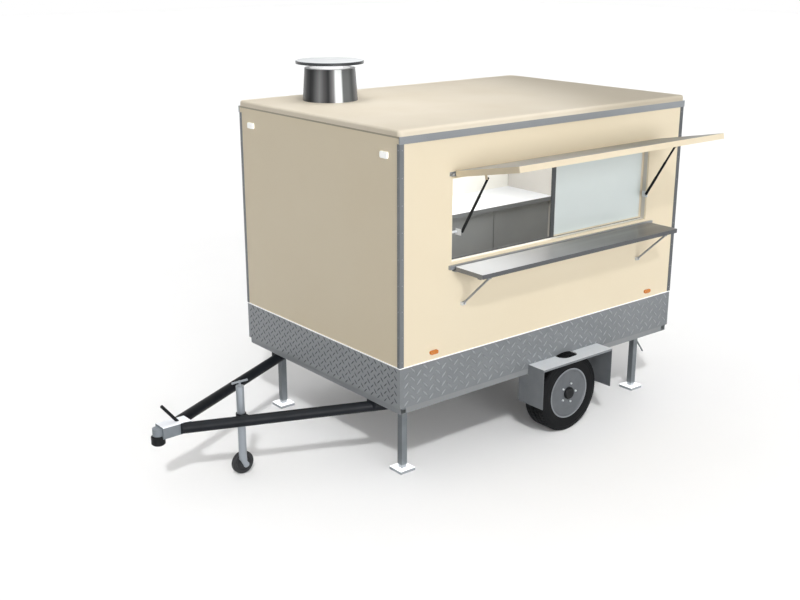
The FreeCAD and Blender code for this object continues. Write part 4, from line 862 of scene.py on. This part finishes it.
cornerLow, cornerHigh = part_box("corner_trims")
eaveLow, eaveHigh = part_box("eave_trims")
clear = rivet["clear"] * mm
eaveLine = (eaveLow.z + eaveHigh.z) / 2
rows = []
for sign in (-1, 1):
    cornerY = cornerHigh.y * sign
    for x, endX in ((frontX, cornerLow.x), (rearX, cornerHigh.x)):
        inward = 1 if x == frontX else -1
        lineX = x + inward * rivet["sideLine"] * mm
        lineY = sign * (wallY - rivet["endLine"] * mm)
        for rowX, rowY, facing in ((lineX, cornerY, (0, sign, 0)), (endX, lineY, (-inward, 0, 0))):
            rows.append(rivetRow((rowX, rowY, cornerLow.z + clear), (rowX, rowY, cornerHigh.z - clear),
                                 facing))
    eaveY = eaveHigh.y * sign
    rows.append(rivetRow((frontX + clear, eaveY, eaveLine), (rearX - clear, eaveY, eaveLine), (0, sign, 0)))
pieceFrom(joined(rows, "trimRivets"), "trimRivets", "trailer", trim)
print("rivets done")


# Camera: matched to the photograph, 800 by 600
view = {"place": (-3.1913, -6.6239, 3.2697), "azimuth": -39.09, "elevation": 17.42, "focalPixels": 1110,
        "imagePixels": 800, "sensor": 36}


def setCamera():
    camera = bpy.data.cameras.new("photoView")
    camera.sensor_width = view["sensor"]
    camera.lens = view["focalPixels"] * view["sensor"] / view["imagePixels"]
    camera.clip_end = 100
    holder = addObject("photoView", camera)
    azimuth, elevation = math.radians(view["azimuth"]), math.radians(view["elevation"])
    back = Vector((math.sin(azimuth) * math.cos(elevation), -math.cos(azimuth) * math.cos(elevation),
                   math.sin(elevation)))
    holder.rotation_euler = back.to_track_quat("Z", "Y").to_euler()
    holder.location = view["place"]
    bpy.context.scene.camera = holder


# the floor keeps the trailer's shadow and otherwise shows as the white background
ground = {"size": 60, "paint": ("E0E0E0", "E3E3E3"), "bounce": "909090", "glow": 0.02}


# the light path, and whether a ray comes from the camera, straight or through glass
def straightRays(tree):
    rays = addNode(tree, "ShaderNodeLightPath").outputs
    straight = addNode(tree, "ShaderNodeMath", {"operation": "MAXIMUM"},
                       {0: rays["Is Camera Ray"], 1: rays["Is Transmission Ray"]})
    return rays, straight.outputs[0]


def makeFloor():
    reach = ground["size"]
    verts = [(x, y, groundZ) for x, y in ((-reach, -reach), (reach, -reach), (reach, reach), (-reach, reach))]
    floor = addObject("studioFloor", meshFrom("studioFloor", verts, [(0, 1, 2, 3)]))
    finish = startFinish("studioFloor", {"Roughness": 0.9, "Specular IOR Level": 0.1,
                                         "Emission Color": (1, 1, 1, 1)})
    tree, shader = finish["tree"], finish["shader"]
    rays, straight = straightRays(tree)
    seen = addNode(tree, "ShaderNodeMath", {"operation": "MAXIMUM"}, {0: straight, 1: rays["Is Glossy Ray"]})
    paint = addNode(tree, "ShaderNodeMix",
                    {"data_type": "RGBA", 6: tint(ground["paint"][0]), 7: tint(ground["paint"][1])},
                    {0: mottling(finish, 900, 2.0)})
    # where light only bounces off it the floor is mid grey, so that it doesn't light the walls from below
    colour = addNode(tree, "ShaderNodeMix", {"data_type": "RGBA", 6: tint(ground["bounce"])},
                     {0: seen.outputs[0], 7: paint.outputs[2]})
    tree.links.new(colour.outputs[2], shader.inputs["Base Color"])
    glow = addNode(tree, "ShaderNodeMath", {"operation": "MULTIPLY", 1: ground["glow"]}, {0: seen.outputs[0]})
    tree.links.new(glow.outputs[0], shader.inputs["Emission Strength"])
    floor.data.materials.append(finish["material"])
    return floor


# Light: a broad fill on the serving side, a mild sun from the front left, and an even light from above.
# The floor has two suns of its own, a wide one for the soft shadow under the body and a small one for the
# drawbar's. What lies low in the body's shade is lifted too. A sun is: direction, strength, spread in
# degrees, and what it lights. The roof's lamp is placed from the roof's front edge, and the room's lamp
# hangs under the ceiling and is as large, less the margins
feet = ("foot_front_left", "foot_front_right", "foot_rear_left", "foot_rear_right")
light = {"suns": {"wallFill": ((-0.27, -0.955, 0.12), 2.6, 40, "all"),
                  "mildSun": ((-0.43, -0.65, 0.66), 0.6, 3, "object"),
                  "highFill": ((0, 0, 1), 1.0, 50, "object"),
                  "floorFill": ((-0.08, -0.2, 1), 2.3, 165, "floor"),
                  "floorSun": ((-0.62, -0.78, 1), 1.75, 4, "floor"),
                  "lowFill": ((0, 0, 1), 1.4, 50, ("coupling_head", "mudguard_tops")),
                  "feetFill": ((0, 0, 1), 7.0, 50, feet)},
         "sky": 0.15, "skyBands": 3.0, "roof": {"energy": 10, "from": (0.6, 0.1, 1.6), "size": 1.5},
         "room": {"energy": 26, "drop": 0.09, "margins": (0.5, 0.6)}}


def placeLamp(name, kind, location, energy):
    lamp = bpy.data.lights.new(name, kind)
    lamp.energy = energy
    holder = addObject(name, lamp)
    holder.location = location
    return holder


# limits a lamp to some objects, or keeps it off them
def linkLamp(lamp, targets, state):
    group = bpy.data.collections.new(lamp.name + "Targets")
    for target in targets:
        group.objects.link(target)
    lamp.light_linking.receiver_collection = group
    for entry in group.collection_objects:
        entry.light_linking.link_state = state


def setLights(floor):
    for name, (direction, strength, spread, onto) in light["suns"].items():
        sun = placeLamp(name, "SUN", (0, 0, 10), strength)
        sun.data.angle = math.radians(spread)
        sun.rotation_euler = Vector(direction).to_track_quat("Z", "Y").to_euler()
        if onto in ("floor", "object"):
            linkLamp(sun, [floor], "INCLUDE" if onto == "floor" else "EXCLUDE")
        elif onto != "all":
            linkLamp(sun, [nodes[target] for target in onto], "INCLUDE")
            sun.data.use_shadow = False
    roof, room = light["roof"], light["room"]
    above = Vector((frontX, 0, eaveZ)) + Vector(roof["from"])
    overRoof = placeLamp("roofLight", "AREA", above, roof["energy"])
    overRoof.data.size = roof["size"]
    inRoom = placeLamp("roomLight", "AREA", ((frontX + rearX) / 2, 0, eaveZ - room["drop"]), room["energy"])
    inRoom.data.shape = "RECTANGLE"
    inRoom.data.size, inRoom.data.size_y = longSide - room["margins"][0], 2 * wallY - room["margins"][1]


# the sky is white where it is seen, softly banded where metal mirrors it, and mild where it lights
def setSky():
    world = bpy.data.worlds.new("studioSky")
    world.use_nodes = True
    tree = world.node_tree
    tree.nodes.clear()
    rays, straight = straightRays(tree)
    coords = addNode(tree, "ShaderNodeTexCoord")
    split = addNode(tree, "ShaderNodeSeparateXYZ", links={0: coords.outputs["Generated"]})
    azimuth = addNode(tree, "ShaderNodeMath", {"operation": "ARCTAN2"},
                      {0: split.outputs[1], 1: split.outputs[0]})
    bands = addNode(tree, "ShaderNodeMath", {"operation": "MULTIPLY", 1: light["skyBands"]},
                    {0: azimuth.outputs[0]})
    wave = addNode(tree, "ShaderNodeMath", {"operation": "SINE"}, {0: bands.outputs[0]})
    strip = addNode(tree, "ShaderNodeMapRange",
                    {"From Min": -0.2, "From Max": 0.5, "To Min": 0.5, "interpolation_type": "SMOOTHSTEP"},
                    {"Value": wave.outputs[0]})
    mirrored = addNode(tree, "ShaderNodeBackground", {"Strength": 1.0}, {"Color": strip.outputs[0]})
    seen = addNode(tree, "ShaderNodeBackground", {"Color": (1, 1, 1, 1), "Strength": 1.0})
    lit = addNode(tree, "ShaderNodeBackground", {"Color": (1, 1, 1, 1), "Strength": light["sky"]})
    glossy = addNode(tree, "ShaderNodeMixShader",
                     links={0: rays["Is Glossy Ray"], 1: lit.outputs[0], 2: mirrored.outputs[0]})
    both = addNode(tree, "ShaderNodeMixShader", links={0: straight, 1: glossy.outputs[0], 2: seen.outputs[0]})
    addNode(tree, "ShaderNodeOutputWorld", links={"Surface": both.outputs[0]})
    bpy.context.scene.world = world


setCamera()
setLights(makeFloor())
setSky()
bpy.context.scene.view_settings.view_transform = "Standard"
print("light, camera and floor done")
